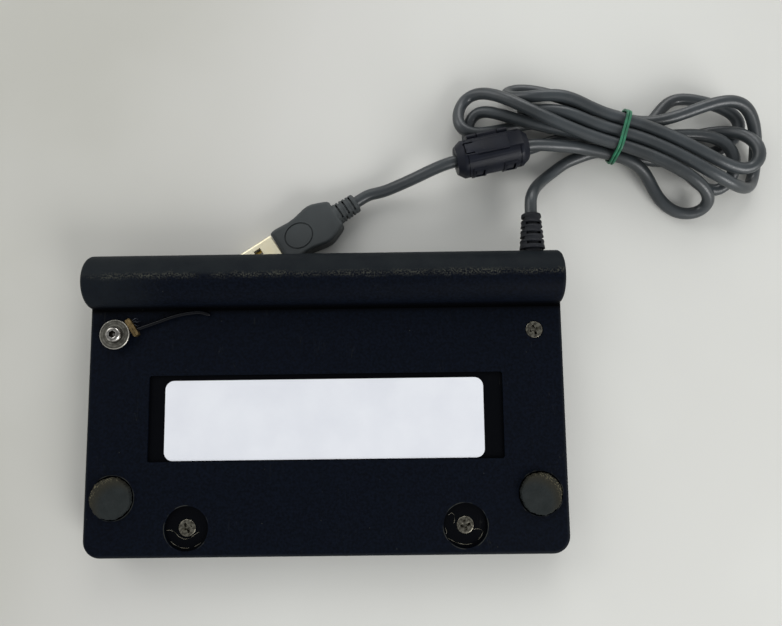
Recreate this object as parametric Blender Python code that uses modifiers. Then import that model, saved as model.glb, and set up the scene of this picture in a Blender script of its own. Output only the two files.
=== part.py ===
"""Desktop signature pad, lying on its face with its cable folded into a banded hank.

Metres, +Z up. The writing face lies on the plane z = 0 and the underside looks up.
+Y points to the rear roll, +X to the side where the cable leaves. The origin is under
the middle of the pad, without its cable.
"""

import math

import bmesh
import bpy
import numpy as np
from mathutils import Matrix, Vector

# Distance at which points are merged
WELD = 0.000002

# Housing: its width and depth follow from what lies in it, side by side and front to rear
SIDE_MARGIN = 0.0172
FRONT_MARGIN = 0.0158
BODY_THICKNESS = 0.0122
ROLL_RADIUS = 0.0087
ROLL_WALL = 0.0020
ROLL_END_ROUND = 0.0014
FRONT_CORNER_RADIUS = 0.0055
EDGE_ROUND = 0.0012
SIDE_WALL = 0.0022
FACE_WALL = 0.0024
PLATE_THICKNESS = 0.0024
FIT_GAP = 0.0003
OVERRUN = 0.002
ROLL_GROOVE_WIDTH = 0.0008
ROLL_GROOVE_DEPTH = 0.0006

# Pen rest along the face side of the roll
REST_RADIUS = 0.0075
REST_AXIS_HEIGHT = 0.0014
REST_WALL = 0.0020
LIP_HEIGHT = 0.0082

# Recesses in the underside
LABEL_WIDTH = 0.1016
LABEL_HEIGHT = 0.0252
LABEL_THICKNESS = 0.00025
LABEL_CORNER_RADIUS = 0.0028
LABEL_SIDE_ROOM = 0.0057
LABEL_END_ROOM = 0.0010
LABEL_RECESS_DEPTH = 0.0009
LABEL_RECESS_SETBACK = 0.0430
LABEL_SHIFT_X = -0.0005
LABEL_SHIFT_Y = -0.0007
FOOT_SIDE_INSET = 0.0089
FOOT_FRONT_INSET = 0.0185
BARE_FOOT_SIDE_INSET = 0.0326
BARE_FOOT_FRONT_INSET = 0.0090
FOOT_RADIUS = 0.0066
FOOT_RECESS_DEPTH = 0.0010
FOOT_PROUD = 0.0018
FOOT_RIM_WIDTH = 0.0011
FOOT_RIM_HEIGHT = 0.0004

# Case screws and their bosses
REAR_SCREW_SIDE_INSET = 0.0090
REAR_SCREW_SETBACK = 0.0170
SCREW_HEAD_RADIUS = 0.00265
SCREW_HEAD_DEPTH = 0.0013
SCREW_SHAFT_RADIUS = 0.00125
SCREW_LENGTH = 0.0075
CROSS_SLOT_WIDTH = 0.0006
CROSS_SLOT_DEPTH = 0.0007
CROSS_ARM_SHARE = 0.62
BOSS_RADIUS = 0.0029

# Pen tether
TETHER_CORD_RADIUS = 0.00055
WASHER_RADIUS = 0.00475
WASHER_BORE_RADIUS = 0.0018
WASHER_THICKNESS = 0.0007
PAN_HEAD_RADIUS = 0.0025
PAN_HEAD_HEIGHT = 0.0017
PAN_HEAD_SHOULDER_SHARES = ((0.5, 1), (0.85, 0.86), (1, 0.6))
TETHER_SHAFT_RADIUS = 0.0014
SOCKET_RADIUS = 0.0010
CRIMP_WIDTH = 0.0062
CRIMP_LENGTH = 0.0018
CRIMP_HEIGHT = 0.0017
CRIMP_OFFSET_X = 0.0053
CRIMP_OFFSET_Y = 0.0022
CRIMP_TURN = math.radians(33)
TETHER_STUB = (
    (0.0127, 0.0051),
    (0.0202, 0.0063),
    (0.0272, 0.0065),
    (0.0304, 0.0063),
)

# Display window and module
WINDOW_WIDTH = 0.118
WINDOW_HEIGHT = 0.042
WINDOW_LEDGE = 0.003
WINDOW_THICKNESS = 0.0008
WINDOW_REBATE = 0.0014
GASKET_BORDER = 0.0020
GASKET_THICKNESS = 0.0006
BEZEL_BORDER = 0.003
BEZEL_DEPTH = 0.003
BEZEL_SHEET = 0.0005
GLASS_THICKNESS = 0.0008
GUIDE_THICKNESS = 0.0009
SENSOR_THICKNESS = 0.0008
SHIELD_THICKNESS = 0.0005

# Main board
BOARD_SIDE_ROOM = 0.0063
BOARD_DEPTH = 0.0124
BOARD_SETBACK = 0.0066
BOARD_REAR_ROOM = 0.0006
BOARD_HEIGHT = 0.0050
BOARD_THICKNESS = 0.0012
BOARD_SCREW_INSET = 0.0028
BOARD_BOSS_RADIUS = 0.0019
BOARD_SCREW_RADIUS = 0.0009
BOARD_SCREW_HEAD_RADIUS = 0.0017
BOARD_SCREW_HEAD_HEIGHT = 0.0011
BOARD_SCREW_REACH = 0.0030
CHIP_SIDE = 0.0090
CHIP_THICKNESS = 0.0012
CHIP_X = -0.012
HEADER_WIDTH = 0.0080
HEADER_DEPTH = 0.0047
HEADER_HEIGHT = 0.0028
HEADER_OFFSET = 0.0195
RIBBON_SOCKET_WIDTH = 0.0200
RIBBON_SOCKET_DEPTH = 0.0035
RIBBON_SOCKET_HEIGHT = 0.0016
RIBBON_X = 0.010
RIBBON_WIDTH = 0.0180
RIBBON_THICKNESS = 0.0003
RIBBON_SOCKET_INSET = 0.0008

# Cable, its strain relief and the wires behind it
CABLE_RADIUS = 0.0020
CABLE_INSET = 0.0087
CABLE_EXIT_HEIGHT = 0.0125
BOOT_BASE_RADIUS = 0.0041
BOOT_TIP_RADIUS = 0.0031
BOOT_NECK_RADIUS = 0.0030
BOOT_FLANGE_RADIUS = 0.0038
BOOT_FLANGE_LENGTH = 0.0015
BOOT_FLANGE_SETBACK = 0.0037
BOOT_LENGTH = 0.0120
BOOT_TIP_ROUND = 0.0005
BOOT_GROOVE_COUNT = 3
BOOT_GROOVE_WIDTH = 0.0011
BOOT_GROOVE_DEPTH = 0.0011
BOOT_BRIDGE_WIDTH = 0.0024
BOOT_GROOVE = (BOOT_GROOVE_WIDTH, BOOT_GROOVE_DEPTH, BOOT_BRIDGE_WIDTH)
LEAD_CHANNEL_WIDTH = 0.022
LEAD_CHANNEL_DEPTH = 0.0014
LEAD_CHANNEL_SETBACK = 0.0051
LEAD_CHANNEL_LENGTH = 0.0070
WIRE_RADIUS = 0.0008
WIRE_ROUTE = (
    (0, -0.0055, 0.0125),
    (-0.0013, -0.0083, 0.0130),
    (-0.0050, -0.0110, 0.0127),
    (-0.0110, -0.0133, 0.0112),
    (-0.0155, -0.0158, 0.0099),
    (-0.0180, -0.0178, 0.0088),
    (-0.0195, -0.0194, 0.0080),
)

# Hank: the cable's crossing points at the waist, and its lobes
HANK_OFFSET_X = 0.0319
HANK_OFFSET_Y = 0.0401
HANK_TURN = math.radians(-17.4)
STRAND_PITCH = 0.0045
STRAND_ROW = 0.00395
WAIST_HEIGHT = 0.0034
WAIST_HALF = 0.0020
POINTS_A_LOBE = 24
ENTRY_LENGTH = 0.0080
ENTRY_SWING = 0.0042
ENTRY_DROP = 0.0010
EXIT_LENGTH = 0.0060
EXIT_SWING = 0.0007
EXIT_RISE = 0.0005
TABLE_GAP = 0.0001
ROUTE_STEP = 0.0030
BAND_WIDTH = 0.0019
BAND_THICKNESS = 0.0009
BAND_ARC_STEPS = 5

# Ferrite clamp on the cable
CLAMP_OFFSET_X = -0.01225
CLAMP_OFFSET_Y = 0.0334
CLAMP_HEIGHT = 0.01095
CLAMP_TURN = math.radians(11.7)
CLAMP_LENGTH = 0.0240
CLAMP_RADIUS = 0.0062
CLAMP_TIP_RADIUS = 0.0046
CLAMP_TAPER = 0.0022
CLAMP_WALL = 0.0009
CLAMP_END_WALL = 0.0024
CLAMP_BORE_GAP = 0.00035
CLAMP_LINE_SHARES = (0.58, 0.3, 0, -0.3, -0.58)
HINGE_RADIUS = 0.0010
HINGE_STAND_OFF = 0.0009
HINGE_LENGTH = 0.0140
HINGE_SHARES = (0.25, 0.5, 0.25)
HINGE_WEB_SHARE = 0.9
LATCH_X = 0.0052
LATCH_WIDTH = 0.0044
LATCH_THICKNESS = 0.0008
LATCH_STAND_OFF = 0.0005
LATCH_DROP = 0.0036
LATCH_RISE = 0.0022
LATCH_BRIDGE_HEIGHT = 0.0008
LATCH_REACH = 0.0009
LATCH_WINDOW_WIDTH = 0.0024
LATCH_WINDOW_HEIGHT = 0.0017
LATCH_NUB_WIDTH = 0.0017
LATCH_NUB_HEIGHT = 0.0010
LATCH_NUB_ROOT = 0.0024
STRIP_ANGLE = math.radians(52)
STRIP_LENGTH = 0.0176
STRIP_WIDTH = 0.0026
STRIP_STEP_LENGTH = 0.0110
STRIP_STEP_WIDTH = 0.0046
STRIP_PROUD = 0.0005

# Plug
PLUG_OFFSET_X = -0.0645
PLUG_OFFSET_Y = 0.0152
PLUG_HEIGHT = 0.0039
PLUG_TURN = math.radians(32.5)
PLUG_LENGTH = 0.0225
PLUG_NECK_WIDTH = 0.0096
PLUG_WIDE_WIDTH = 0.0146
PLUG_WAIST_WIDTH = 0.0124
PLUG_FRONT_WIDTH = 0.0136
PLUG_THICKNESS = 0.0074
PLUG_ROUND = 0.0012
PLUG_SHOULDER_SHARES = (0.08, 0.36)
PLUG_WAIST_SHARES = (0.62, 0.74)
PLUG_OVAL_LENGTH = 0.0100
PLUG_OVAL_WIDTH = 0.0088
PLUG_OVAL_DEPTH = 0.0004
PLUG_OVAL_FRONT = 0.0078
RELIEF_LENGTH = 0.0080
RELIEF_RADIUS = 0.0036
RELIEF_TIP_SHARE = 0.92
RELIEF_ROOT = 0.0030
RELIEF_GROOVE_COUNT = 4
RELIEF_GROOVE_WIDTH = 0.0007
RELIEF_GROOVE_DEPTH = 0.0009
RELIEF_BRIDGE_WIDTH = 0.0020
RELIEF_GROOVE = (RELIEF_GROOVE_WIDTH, RELIEF_GROOVE_DEPTH, RELIEF_BRIDGE_WIDTH)
SHELL_LENGTH = 0.0120
SHELL_WIDTH = 0.0120
SHELL_HEIGHT = 0.0045
SHELL_SHEET = 0.0004
SHELL_CORNER = 0.0008
SHELL_SLOT = 0.0025
SHELL_SLOT_X = 0.0028
SHELL_SLOT_BACK = 0.0052
TONGUE_WIDTH = 0.0104
TONGUE_THICKNESS = 0.0015
TONGUE_SETBACK = 0.0010
CONTACT_WIDTH = 0.0010
CONTACT_LENGTH = 0.0080
CONTACT_THICKNESS = 0.0003
CONTACT_SEAT = 0.0003
CONTACT_SHARES = (-0.34, -0.1, 0.1, 0.34)

# Derived sizes and places, front to rear and then side to side
REST_REACH = REST_RADIUS + REST_WALL
PAD_DEPTH = FRONT_MARGIN + WINDOW_HEIGHT + BOARD_SETBACK + BOARD_DEPTH + BOARD_REAR_ROOM
PAD_DEPTH += REST_REACH + ROLL_RADIUS
PAD_WIDTH = WINDOW_WIDTH + 2 * SIDE_MARGIN
FRONT_Y = -PAD_DEPTH / 2
REAR_Y = PAD_DEPTH / 2
ROLL_Y = REAR_Y - ROLL_RADIUS
WINDOW_Y = FRONT_Y + FRONT_MARGIN + WINDOW_HEIGHT / 2
BOARD_REAR_Y = ROLL_Y - REST_REACH - BOARD_REAR_ROOM
BOARD_FRONT_Y = BOARD_REAR_Y - BOARD_DEPTH
LABEL_RECESS_Y = FRONT_Y + LABEL_RECESS_SETBACK
FOOT_X = PAD_WIDTH / 2 - FOOT_SIDE_INSET
FOOT_Y = FRONT_Y + FOOT_FRONT_INSET
BARE_FOOT_X = PAD_WIDTH / 2 - BARE_FOOT_SIDE_INSET
BARE_FOOT_Y = FRONT_Y + BARE_FOOT_FRONT_INSET
REAR_SCREW_X = PAD_WIDTH / 2 - REAR_SCREW_SIDE_INSET
REAR_SCREW_Y = ROLL_Y - REAR_SCREW_SETBACK
BOARD_WIDTH = 2 * (REAR_SCREW_X - BOSS_RADIUS - BOARD_SIDE_ROOM)
CABLE_X = PAD_WIDTH / 2 - CABLE_INSET
HEADER_X = CABLE_X - HEADER_OFFSET
LABEL_RECESS_WIDTH = LABEL_WIDTH + 2 * LABEL_SIDE_ROOM
LABEL_RECESS_HEIGHT = LABEL_HEIGHT + 2 * LABEL_END_ROOM
PARTING_HEIGHT = BODY_THICKNESS - PLATE_THICKNESS
REST_TOP = REST_AXIS_HEIGHT + REST_RADIUS
FOOT_RECESS_RADIUS = FOOT_RADIUS + FIT_GAP
LABEL_FLOOR = BODY_THICKNESS - LABEL_RECESS_DEPTH
FOOT_FLOOR = BODY_THICKNESS - FOOT_RECESS_DEPTH

# Route of the cable between the pad and the hank, and from the hank to the plug, from the
# place where the cable leaves the pad's rear edge
LEAD_ROUTE = (
    (0.0016, 0.0205, 0.0101),
    (0.0047, 0.0246, 0.0056),
    (0.0091, 0.0286, 0.0026),
)
TAIL_ROUTE = ((0.0115, 0.0362, 0.0098),)
PLUG_ROUTE = (
    (-0.0310, 0.0290, 0.0098),
    (-0.0375, 0.0267, 0.0074),
    (-0.0435, 0.0247, 0.0053),
    (-0.0490, 0.0229, 0.0042),
)

# Each lobe of the hank: its side, its first and last slot at the waist, its reach and
# skew, then four sideways swings and four rises, by order of their wave
LOBES = (
    (
        1, "low_front", "low_rear",
        (0.032, 0.014), (0.024, -0.0045, 0.002, -0.002), (-0.0015, 0, -0.0015, 0),
    ),
    (
        -1, "low_rear", "top_middle",
        (0.030, 0.0065), (-0.0005, 0, 0.0015, 0.0005), (-0.0005, -0.003, -0.0005, 0),
    ),
    (
        1, "top_middle", "mid_rear",
        (0.047, 0.0025), (0.0045, -0.016, 0.0035, -0.002), (-0.0015, -0.002, 0.0055, 0.0005),
    ),
    (
        -1, "mid_rear", "top_rear",
        (0.036, 0.008), (0.001, 0.0015, 0.0035, 0.0005), (-0.0025, -0.005, -0.001, 0),
    ),
    (
        1, "top_rear", "low_middle",
        (0.0435, 0), (0.0045, -0.012, 0.003, -0.0015), (0.003, 0.002, -0.0015, 0.0025),
    ),
    (
        -1, "low_middle", "mid_inner_front",
        (0.048, -0.0015), (-0.013, -0.0095, -0.0045, 0.0015), (-0.002, -0.002, 0.001, -0.001),
    ),
    (
        1, "mid_inner_front", "mid_inner_rear",
        (0.0385, -0.0035), (-0.0005, -0.008, 0.004, -0.001), (-0.003, -0.001, 0.001, 0.002),
    ),
    (
        -1, "mid_inner_rear", "top_front",
        (0.0525, -0.002), (-0.005, -0.0085, 0.001, 0.003), (-0.004, -0.003, 0, -0.004),
    ),
    (
        1, "top_front", "mid_front",
        (0.030, 0.008), (-0.0115, 0.001, 0, -0.001), (-0.0055, 0.004, 0.001, 0.0015),
    ),
)

# Places of the strands at the waist, in shares of the pitch and of the row height
SLOT_SHARES = {
    "low_front": (-1, 0),
    "low_middle": (0, 0),
    "low_rear": (1, 0),
    "mid_front": (-1.5, 1),
    "mid_inner_front": (-0.5, 1),
    "mid_inner_rear": (0.5, 1),
    "mid_rear": (1.5, 1),
    "top_front": (-1, 2),
    "top_middle": (0, 2),
    "top_rear": (1, 2),
}


def clear_scene():
    """Remove every object that the file starts with."""
    for item in list(bpy.data.objects):
        bpy.data.objects.remove(item)


def make_collection(name):
    """Add a collection to the scene."""
    collection = bpy.data.collections.new(name)
    bpy.context.scene.collection.children.link(collection)
    return collection


def material(name, colour, roughness, metallic=0.0, alpha=1.0):
    """Return a Principled material."""
    made = bpy.data.materials.new(name)
    made.use_nodes = True
    shader = made.node_tree.nodes["Principled BSDF"]
    shader.inputs["Base Color"].default_value = (*colour, 1.0)
    shader.inputs["Roughness"].default_value = roughness
    shader.inputs["Metallic"].default_value = metallic
    shader.inputs["Alpha"].default_value = alpha
    return made


def add_object(name, data, parent=None, finish=None):
    """Link a new object into the pad's collection, or the cutters' when it has no finish."""
    made = bpy.data.objects.new(name, data)
    if finish is None:
        CUTTERS.objects.link(made)
        made.hide_render = True
        made.display_type = "WIRE"
    else:
        PAD.objects.link(made)
        data.materials.append(finish)
    made.parent = parent
    return made


def add_frame(name, location, turn=0.0, parent=None):
    """Add an empty that carries an assembly: place and heading about Z."""
    frame = bpy.data.objects.new(name, None)
    PAD.objects.link(frame)
    frame.location = location
    frame.rotation_euler = (0, 0, turn)
    frame.parent = parent
    return frame


def shade(mesh):
    """Smooth the round faces and keep the corners sharp."""
    mesh.shade_smooth()
    mesh.set_sharp_from_angle(angle=math.radians(40))


def box(name, low, high, parent=None, finish=None):
    """Add a box between two opposite corners."""
    form = bmesh.new()
    bmesh.ops.create_cube(form, size=1)
    low, high = Vector(low), Vector(high)
    size = high - low
    form.transform(Matrix.Translation((low + high) / 2) @ Matrix.Diagonal((*size, 1)))
    mesh = bpy.data.meshes.new(name)
    form.to_mesh(mesh)
    form.free()
    return add_object(name, mesh, parent, finish)


def rod(name, radius, start, end, parent=None, finish=None, sides=32, end_radius=None):
    """Add a cylinder or cone between two points."""
    start, end = Vector(start), Vector(end)
    span = end - start
    form = bmesh.new()
    bmesh.ops.create_cone(
        form,
        cap_ends=True,
        segments=sides,
        radius1=radius,
        radius2=radius if end_radius is None else end_radius,
        depth=span.length,
    )
    turn = span.to_track_quat("Z", "Y").to_matrix().to_4x4()
    form.transform(Matrix.Translation((start + end) / 2) @ turn)
    mesh = bpy.data.meshes.new(name)
    form.to_mesh(mesh)
    form.free()
    shade(mesh)
    return add_object(name, mesh, parent, finish)


def mesh_of(item):
    """Replace a curve object by a closed mesh of its shape."""
    bpy.context.view_layer.update()
    seen = item.evaluated_get(bpy.context.evaluated_depsgraph_get())
    mesh = bpy.data.meshes.new_from_object(seen)
    form = bmesh.new()
    form.from_mesh(mesh)
    bmesh.ops.remove_doubles(form, verts=form.verts, dist=WELD)
    form.to_mesh(mesh)
    form.free()
    mesh.materials.clear()
    shade(mesh)
    bpy.data.objects.remove(item)
    return mesh


def arc(centre, radius, start, stop, steps):
    """Points on an arc in a plane, both ends included."""
    angles = (math.radians(start + (stop - start) * i / steps) for i in range(steps + 1))
    return [(centre[0] + radius * math.cos(a), centre[1] + radius * math.sin(a)) for a in angles]


def rounded_outline(low, high, radii, steps=4):
    """Rectangle outline whose corners have the radii: lower left, lower right, upper right, upper left."""
    corners = ((low[0], low[1]), (high[0], low[1]), (high[0], high[1]), (low[0], high[1]))
    inward = ((1, 1), (-1, 1), (-1, -1), (1, -1))
    points = []
    for corner, side, radius, start in zip(corners, inward, radii, (180, 270, 0, 90)):
        if radius:
            centre = (corner[0] + side[0] * radius, corner[1] + side[1] * radius)
            points += arc(centre, radius, start, start + 90, steps)
        else:
            points.append(corner)
    return points


def plate(name, outline, bottom, top, parent=None, finish=None, edge=0.0):
    """Add a flat plate from an outline, between two heights, with rounded rims."""
    curve = bpy.data.curves.new(name, "CURVE")
    curve.dimensions = "2D"
    curve.fill_mode = "BOTH"
    spline = curve.splines.new("POLY")
    spline.points.add(len(outline) - 1)
    for point, place in zip(spline.points, outline):
        point.co = (*place, 0, 1)
    spline.use_cyclic_u = True
    curve.extrude = (top - bottom) / 2 - edge
    curve.bevel_depth = edge
    curve.bevel_resolution = 1
    curve.offset = -edge
    item = bpy.data.objects.new(name, curve)
    CUTTERS.objects.link(item)
    mesh = mesh_of(item)
    bpy.data.curves.remove(curve)
    mesh.transform(Matrix.Translation((0, 0, (top + bottom) / 2)))
    return add_object(name, mesh, parent, finish)


def turned(name, profile, matrix, parent=None, finish=None, steps=24):
    """Add a solid of revolution: profile points are (along, radius), the axis is local Z."""
    form = bmesh.new()
    ring = [form.verts.new((radius, 0, along)) for along, radius in profile]
    on_axis = profile[0][1] == 0
    for first, second in zip(ring, ring[1:] if on_axis else ring[1:] + ring[:1]):
        form.edges.new((first, second))
    mesh = bpy.data.meshes.new(name)
    form.to_mesh(mesh)
    form.free()
    source = bpy.data.objects.new(name, mesh)
    CUTTERS.objects.link(source)
    screw = source.modifiers.new("turn", "SCREW")
    screw.steps = steps
    screw.render_steps = steps
    screw.use_merge_vertices = True
    screw.merge_threshold = WELD
    solid = mesh_of(source)
    form = bmesh.new()
    form.from_mesh(solid)
    bmesh.ops.recalc_face_normals(form, faces=form.faces)
    form.to_mesh(solid)
    form.free()
    solid.transform(matrix)
    shade(solid)
    return add_object(name, solid, parent, finish)


def along_x(place):
    """Matrix that lays a turned solid's axis along X through a place."""
    return Matrix.Translation(place) @ Matrix.Rotation(math.radians(90), 4, "Y")


def along_y(place):
    """Matrix that lays a turned solid's axis along Y through a place."""
    return Matrix.Translation(place) @ Matrix.Rotation(math.radians(-90), 4, "X")


def combine(target, operation, *tools):
    """Join, cut or intersect a solid with other solids, which become hidden tools."""
    for tool in tools:
        if tool.name not in CUTTERS.objects:
            PAD.objects.unlink(tool)
            CUTTERS.objects.link(tool)
        tool.hide_render = True
        tool.display_type = "WIRE"
        change = target.modifiers.new(operation.lower(), "BOOLEAN")
        change.operation = operation
        change.solver = "EXACT"
        change.object = tool
    return target


def smooth_route(points, step, start_heading=None, end_heading=None):
    """Points of a smooth curve through a route, about a step apart."""
    knots = [Vector(p) for p in points]
    first = knots[0] - start_heading * step if start_heading else 2 * knots[0] - knots[1]
    last = knots[-1] + end_heading * step if end_heading else 2 * knots[-1] - knots[-2]
    padded = [first, *knots, last]
    found = []
    for before, a, b, after in zip(padded, padded[1:], padded[2:], padded[3:]):
        spans = [math.sqrt((q - p).length) for p, q in ((before, a), (a, b), (b, after))]
        leave = spans[1] * (
            (a - before) / spans[0] - (b - before) / (spans[0] + spans[1]) + (b - a) / spans[1]
        )
        arrive = spans[1] * (
            (b - a) / spans[1] - (after - a) / (spans[1] + spans[2]) + (after - b) / spans[2]
        )
        count = max(1, round((b - a).length / step))
        for i in range(count):
            t = i / count
            found.append(
                (2 * t**3 - 3 * t**2 + 1) * a
                + (t**3 - 2 * t**2 + t) * leave
                + (3 * t**2 - 2 * t**3) * b
                + (t**3 - t**2) * arrive
            )
    found.append(knots[-1])
    return found


def tube(name, points, radius, finish, resolution=2, parent=None):
    """Add a round cord along points, with flat ends."""
    curve = bpy.data.curves.new(name, "CURVE")
    curve.dimensions = "3D"
    curve.bevel_depth = radius
    curve.bevel_resolution = resolution
    curve.use_fill_caps = True
    spline = curve.splines.new("POLY")
    spline.points.add(len(points) - 1)
    for point, place in zip(spline.points, points):
        point.co = (*place, 1)
    return add_object(name, curve, parent, finish)


def behind_pad(x, y, height=0):
    """World place of a point that is given from where the cable leaves the pad's rear edge."""
    return Vector((CABLE_X + x, REAR_Y + y, height))


def behind_all(route):
    """World places of a route that is given from where the cable leaves the pad."""
    return [behind_pad(*point) for point in route]


def hank_frame():
    """Place and heading of the hank."""
    return Matrix.Translation(behind_pad(HANK_OFFSET_X, HANK_OFFSET_Y)) @ Matrix.Rotation(HANK_TURN, 4, "Z")


def hank_point(along, across, height):
    """World place of a point in the hank's own frame."""
    return hank_frame() @ Vector((along, across, height))


def slot_place(slot):
    """Sideways place and height of a strand at the waist."""
    columns, rows = SLOT_SHARES[slot]
    return columns * STRAND_PITCH, WAIST_HEIGHT + rows * STRAND_ROW


def lobe_points(side, first, last, lengths, swings, rises):
    """Centreline of one lobe: out from the waist, round, and back to the waist.

    Every term is a sine wave shaped by the half turn, so the cord leaves and enters
    the waist along the hank.
    """
    start, stop = slot_place(first), slot_place(last)
    points = []
    for i in range(POINTS_A_LOBE + 1):
        t = i / POINTS_A_LOBE
        half = math.sin(math.pi * t)
        waves = [half * math.sin((k + 1) * math.pi * t) for k in range(len(swings))]
        blend = (1 - math.cos(math.pi * t)) / 2
        reach = lengths[0] * half + lengths[1] * waves[1]
        across = start[0] + (stop[0] - start[0]) * blend
        across += sum(size * wave for size, wave in zip(swings, waves))
        height = start[1] + (stop[1] - start[1]) * blend
        height += sum(size * wave for size, wave in zip(rises, waves))
        height = max(height, CABLE_RADIUS + TABLE_GAP)
        points.append(hank_point(side * (WAIST_HALF + reach), across, height))
    return points


def hank_points():
    """Centreline of the whole hank, from the lead to the tail."""
    across, height = slot_place(LOBES[0][1])
    points = [
        hank_point(
            -WAIST_HALF - ENTRY_LENGTH * share,
            across - ENTRY_SWING * share**1.5,
            height - ENTRY_DROP * share,
        )
        for share in (1, 0.5, 0)
    ]
    for lobe in LOBES:
        points += lobe_points(*lobe)
    across, height = slot_place(LOBES[-1][2])
    points += [
        hank_point(
            -WAIST_HALF - EXIT_LENGTH * share,
            across - EXIT_SWING * share,
            height + EXIT_RISE * share,
        )
        for share in (0, 0.33, 1)
    ]
    return points


def least_gap(points, diameter):
    """Least clear distance between stretches of a tube that aren't neighbours."""
    line = np.array([tuple(p) for p in points])
    steps = 4
    parts = [line[:-1] + (line[1:] - line[:-1]) * (i / steps) for i in range(steps)]
    dense = np.stack(parts, axis=1).reshape(-1, 3)
    along = np.concatenate([[0], np.cumsum(np.linalg.norm(np.diff(dense, axis=0), axis=1))])
    apart = np.linalg.norm(dense[:, None] - dense[None], axis=2)
    apart[np.abs(along[:, None] - along[None]) < 3 * diameter] = np.inf
    return apart.min() - diameter


def section(places, matrix, finish, name, closed=False):
    """Add a strip lofted between cross sections of four corners each, as a bar or a ring."""
    form = bmesh.new()
    rings = [[form.verts.new(corner) for corner in ring] for ring in places]
    following = rings[1:] + rings[:1] if closed else rings[1:]
    for first, second in zip(rings, following):
        for i in range(4):
            form.faces.new((first[i - 1], first[i], second[i], second[i - 1]))
    if not closed:
        form.faces.new(rings[0])
        form.faces.new(rings[-1])
    bmesh.ops.recalc_face_normals(form, faces=form.faces)
    mesh = bpy.data.meshes.new(name)
    form.to_mesh(mesh)
    form.free()
    mesh.transform(matrix)
    return add_object(name, mesh, None, finish)


def housing_form(name, low, high):
    """The pad's outer form between two heights: the flat body and the round rear roll."""
    radii = (FRONT_CORNER_RADIUS, FRONT_CORNER_RADIUS, 0, 0)
    half = PAD_WIDTH / 2
    outline = rounded_outline((-half, FRONT_Y), (half, ROLL_Y), radii)
    body = plate(name, outline, 0, BODY_THICKNESS, finish=HOUSING, edge=EDGE_ROUND)
    corner = arc((half - ROLL_END_ROUND, ROLL_RADIUS - ROLL_END_ROUND), ROLL_END_ROUND, 0, 90, 3)
    profile = [(-half, 0), *((-x, r) for x, r in corner), *corner[::-1], (half, 0)]
    roll = turned(f"{name}_roll", profile, along_x((0, ROLL_Y, BODY_THICKNESS)), steps=48)
    slab = box(
        f"{name}_slab",
        (-half - OVERRUN, FRONT_Y - OVERRUN, low),
        (half + OVERRUN, REAR_Y + OVERRUN, high),
    )
    combine(body, "UNION", roll)
    return combine(body, "INTERSECT", slab)


def screw_places():
    """Sideways place, depthwise place and seat height of the four case screws."""
    return {
        "case_screw_rear_right": (REAR_SCREW_X, REAR_SCREW_Y, BODY_THICKNESS),
        "case_screw_front_left": (-BARE_FOOT_X, BARE_FOOT_Y, FOOT_FLOOR),
        "case_screw_front_right": (BARE_FOOT_X, BARE_FOOT_Y, FOOT_FLOOR),
        "tether_screw": (-REAR_SCREW_X, REAR_SCREW_Y, BODY_THICKNESS),
    }


def screw_shaft(name):
    """Shaft radius of one of the case screws."""
    return TETHER_SHAFT_RADIUS if name == "tether_screw" else SCREW_SHAFT_RADIUS


def make_bottom_cover():
    """Underside with the roll's upper half, its recesses and its screw seats."""
    cover = housing_form("bottom_cover", PARTING_HEIGHT, BODY_THICKNESS + ROLL_RADIUS + OVERRUN)
    half = PAD_WIDTH / 2
    inner = half - SIDE_WALL
    groove_y = ROLL_Y - ROLL_RADIUS
    channel_rear = ROLL_Y - LEAD_CHANNEL_SETBACK
    recess = (LABEL_RECESS_WIDTH / 2, LABEL_RECESS_HEIGHT / 2)
    above = BODY_THICKNESS + OVERRUN
    cuts = [
        rod(
            "roll_hollow",
            ROLL_RADIUS - ROLL_WALL,
            (-inner, ROLL_Y, BODY_THICKNESS),
            (inner, ROLL_Y, BODY_THICKNESS),
            sides=48,
        ),
        box(
            "roll_groove",
            (-half - OVERRUN, groove_y - ROLL_GROOVE_WIDTH, BODY_THICKNESS - ROLL_GROOVE_DEPTH),
            (half + OVERRUN, groove_y + ROLL_GROOVE_WIDTH / 2, BODY_THICKNESS + ROLL_GROOVE_DEPTH),
        ),
        box(
            "lead_channel",
            (CABLE_X - LEAD_CHANNEL_WIDTH, channel_rear - LEAD_CHANNEL_LENGTH, PARTING_HEIGHT - OVERRUN),
            (CABLE_X - FIT_GAP, channel_rear, PARTING_HEIGHT + LEAD_CHANNEL_DEPTH),
        ),
        box(
            "label_recess",
            (-recess[0], LABEL_RECESS_Y - recess[1], LABEL_FLOOR),
            (recess[0], LABEL_RECESS_Y + recess[1], above),
        ),
        boot_hole("boot_hole"),
    ]
    for name, x, y in (("outer", FOOT_X, FOOT_Y), ("inner", BARE_FOOT_X, BARE_FOOT_Y)):
        for side in (-1, 1):
            ends = [(side * x, y, z) for z in (FOOT_FLOOR, above)]
            cuts.append(rod(f"{name}_foot_recess_{side}", FOOT_RECESS_RADIUS, *ends, sides=40))
    for name, (x, y, seat) in screw_places().items():
        narrow = screw_shaft(name) + FIT_GAP
        wide = SCREW_HEAD_RADIUS + FIT_GAP
        neck = (x, y, seat - SCREW_HEAD_DEPTH - FIT_GAP)
        lip, out = (x, y, seat - FIT_GAP / 2), (x, y, seat + OVERRUN)
        cuts.append(rod(f"{name}_hole", narrow, (x, y, PARTING_HEIGHT - OVERRUN), out, sides=20))
        if name != "tether_screw":
            cuts.append(rod(f"{name}_seat", narrow, neck, (x, y, seat), sides=28, end_radius=wide))
            cuts.append(rod(f"{name}_mouth", wide, lip, out, sides=28))
    return combine(cover, "DIFFERENCE", *cuts)


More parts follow.
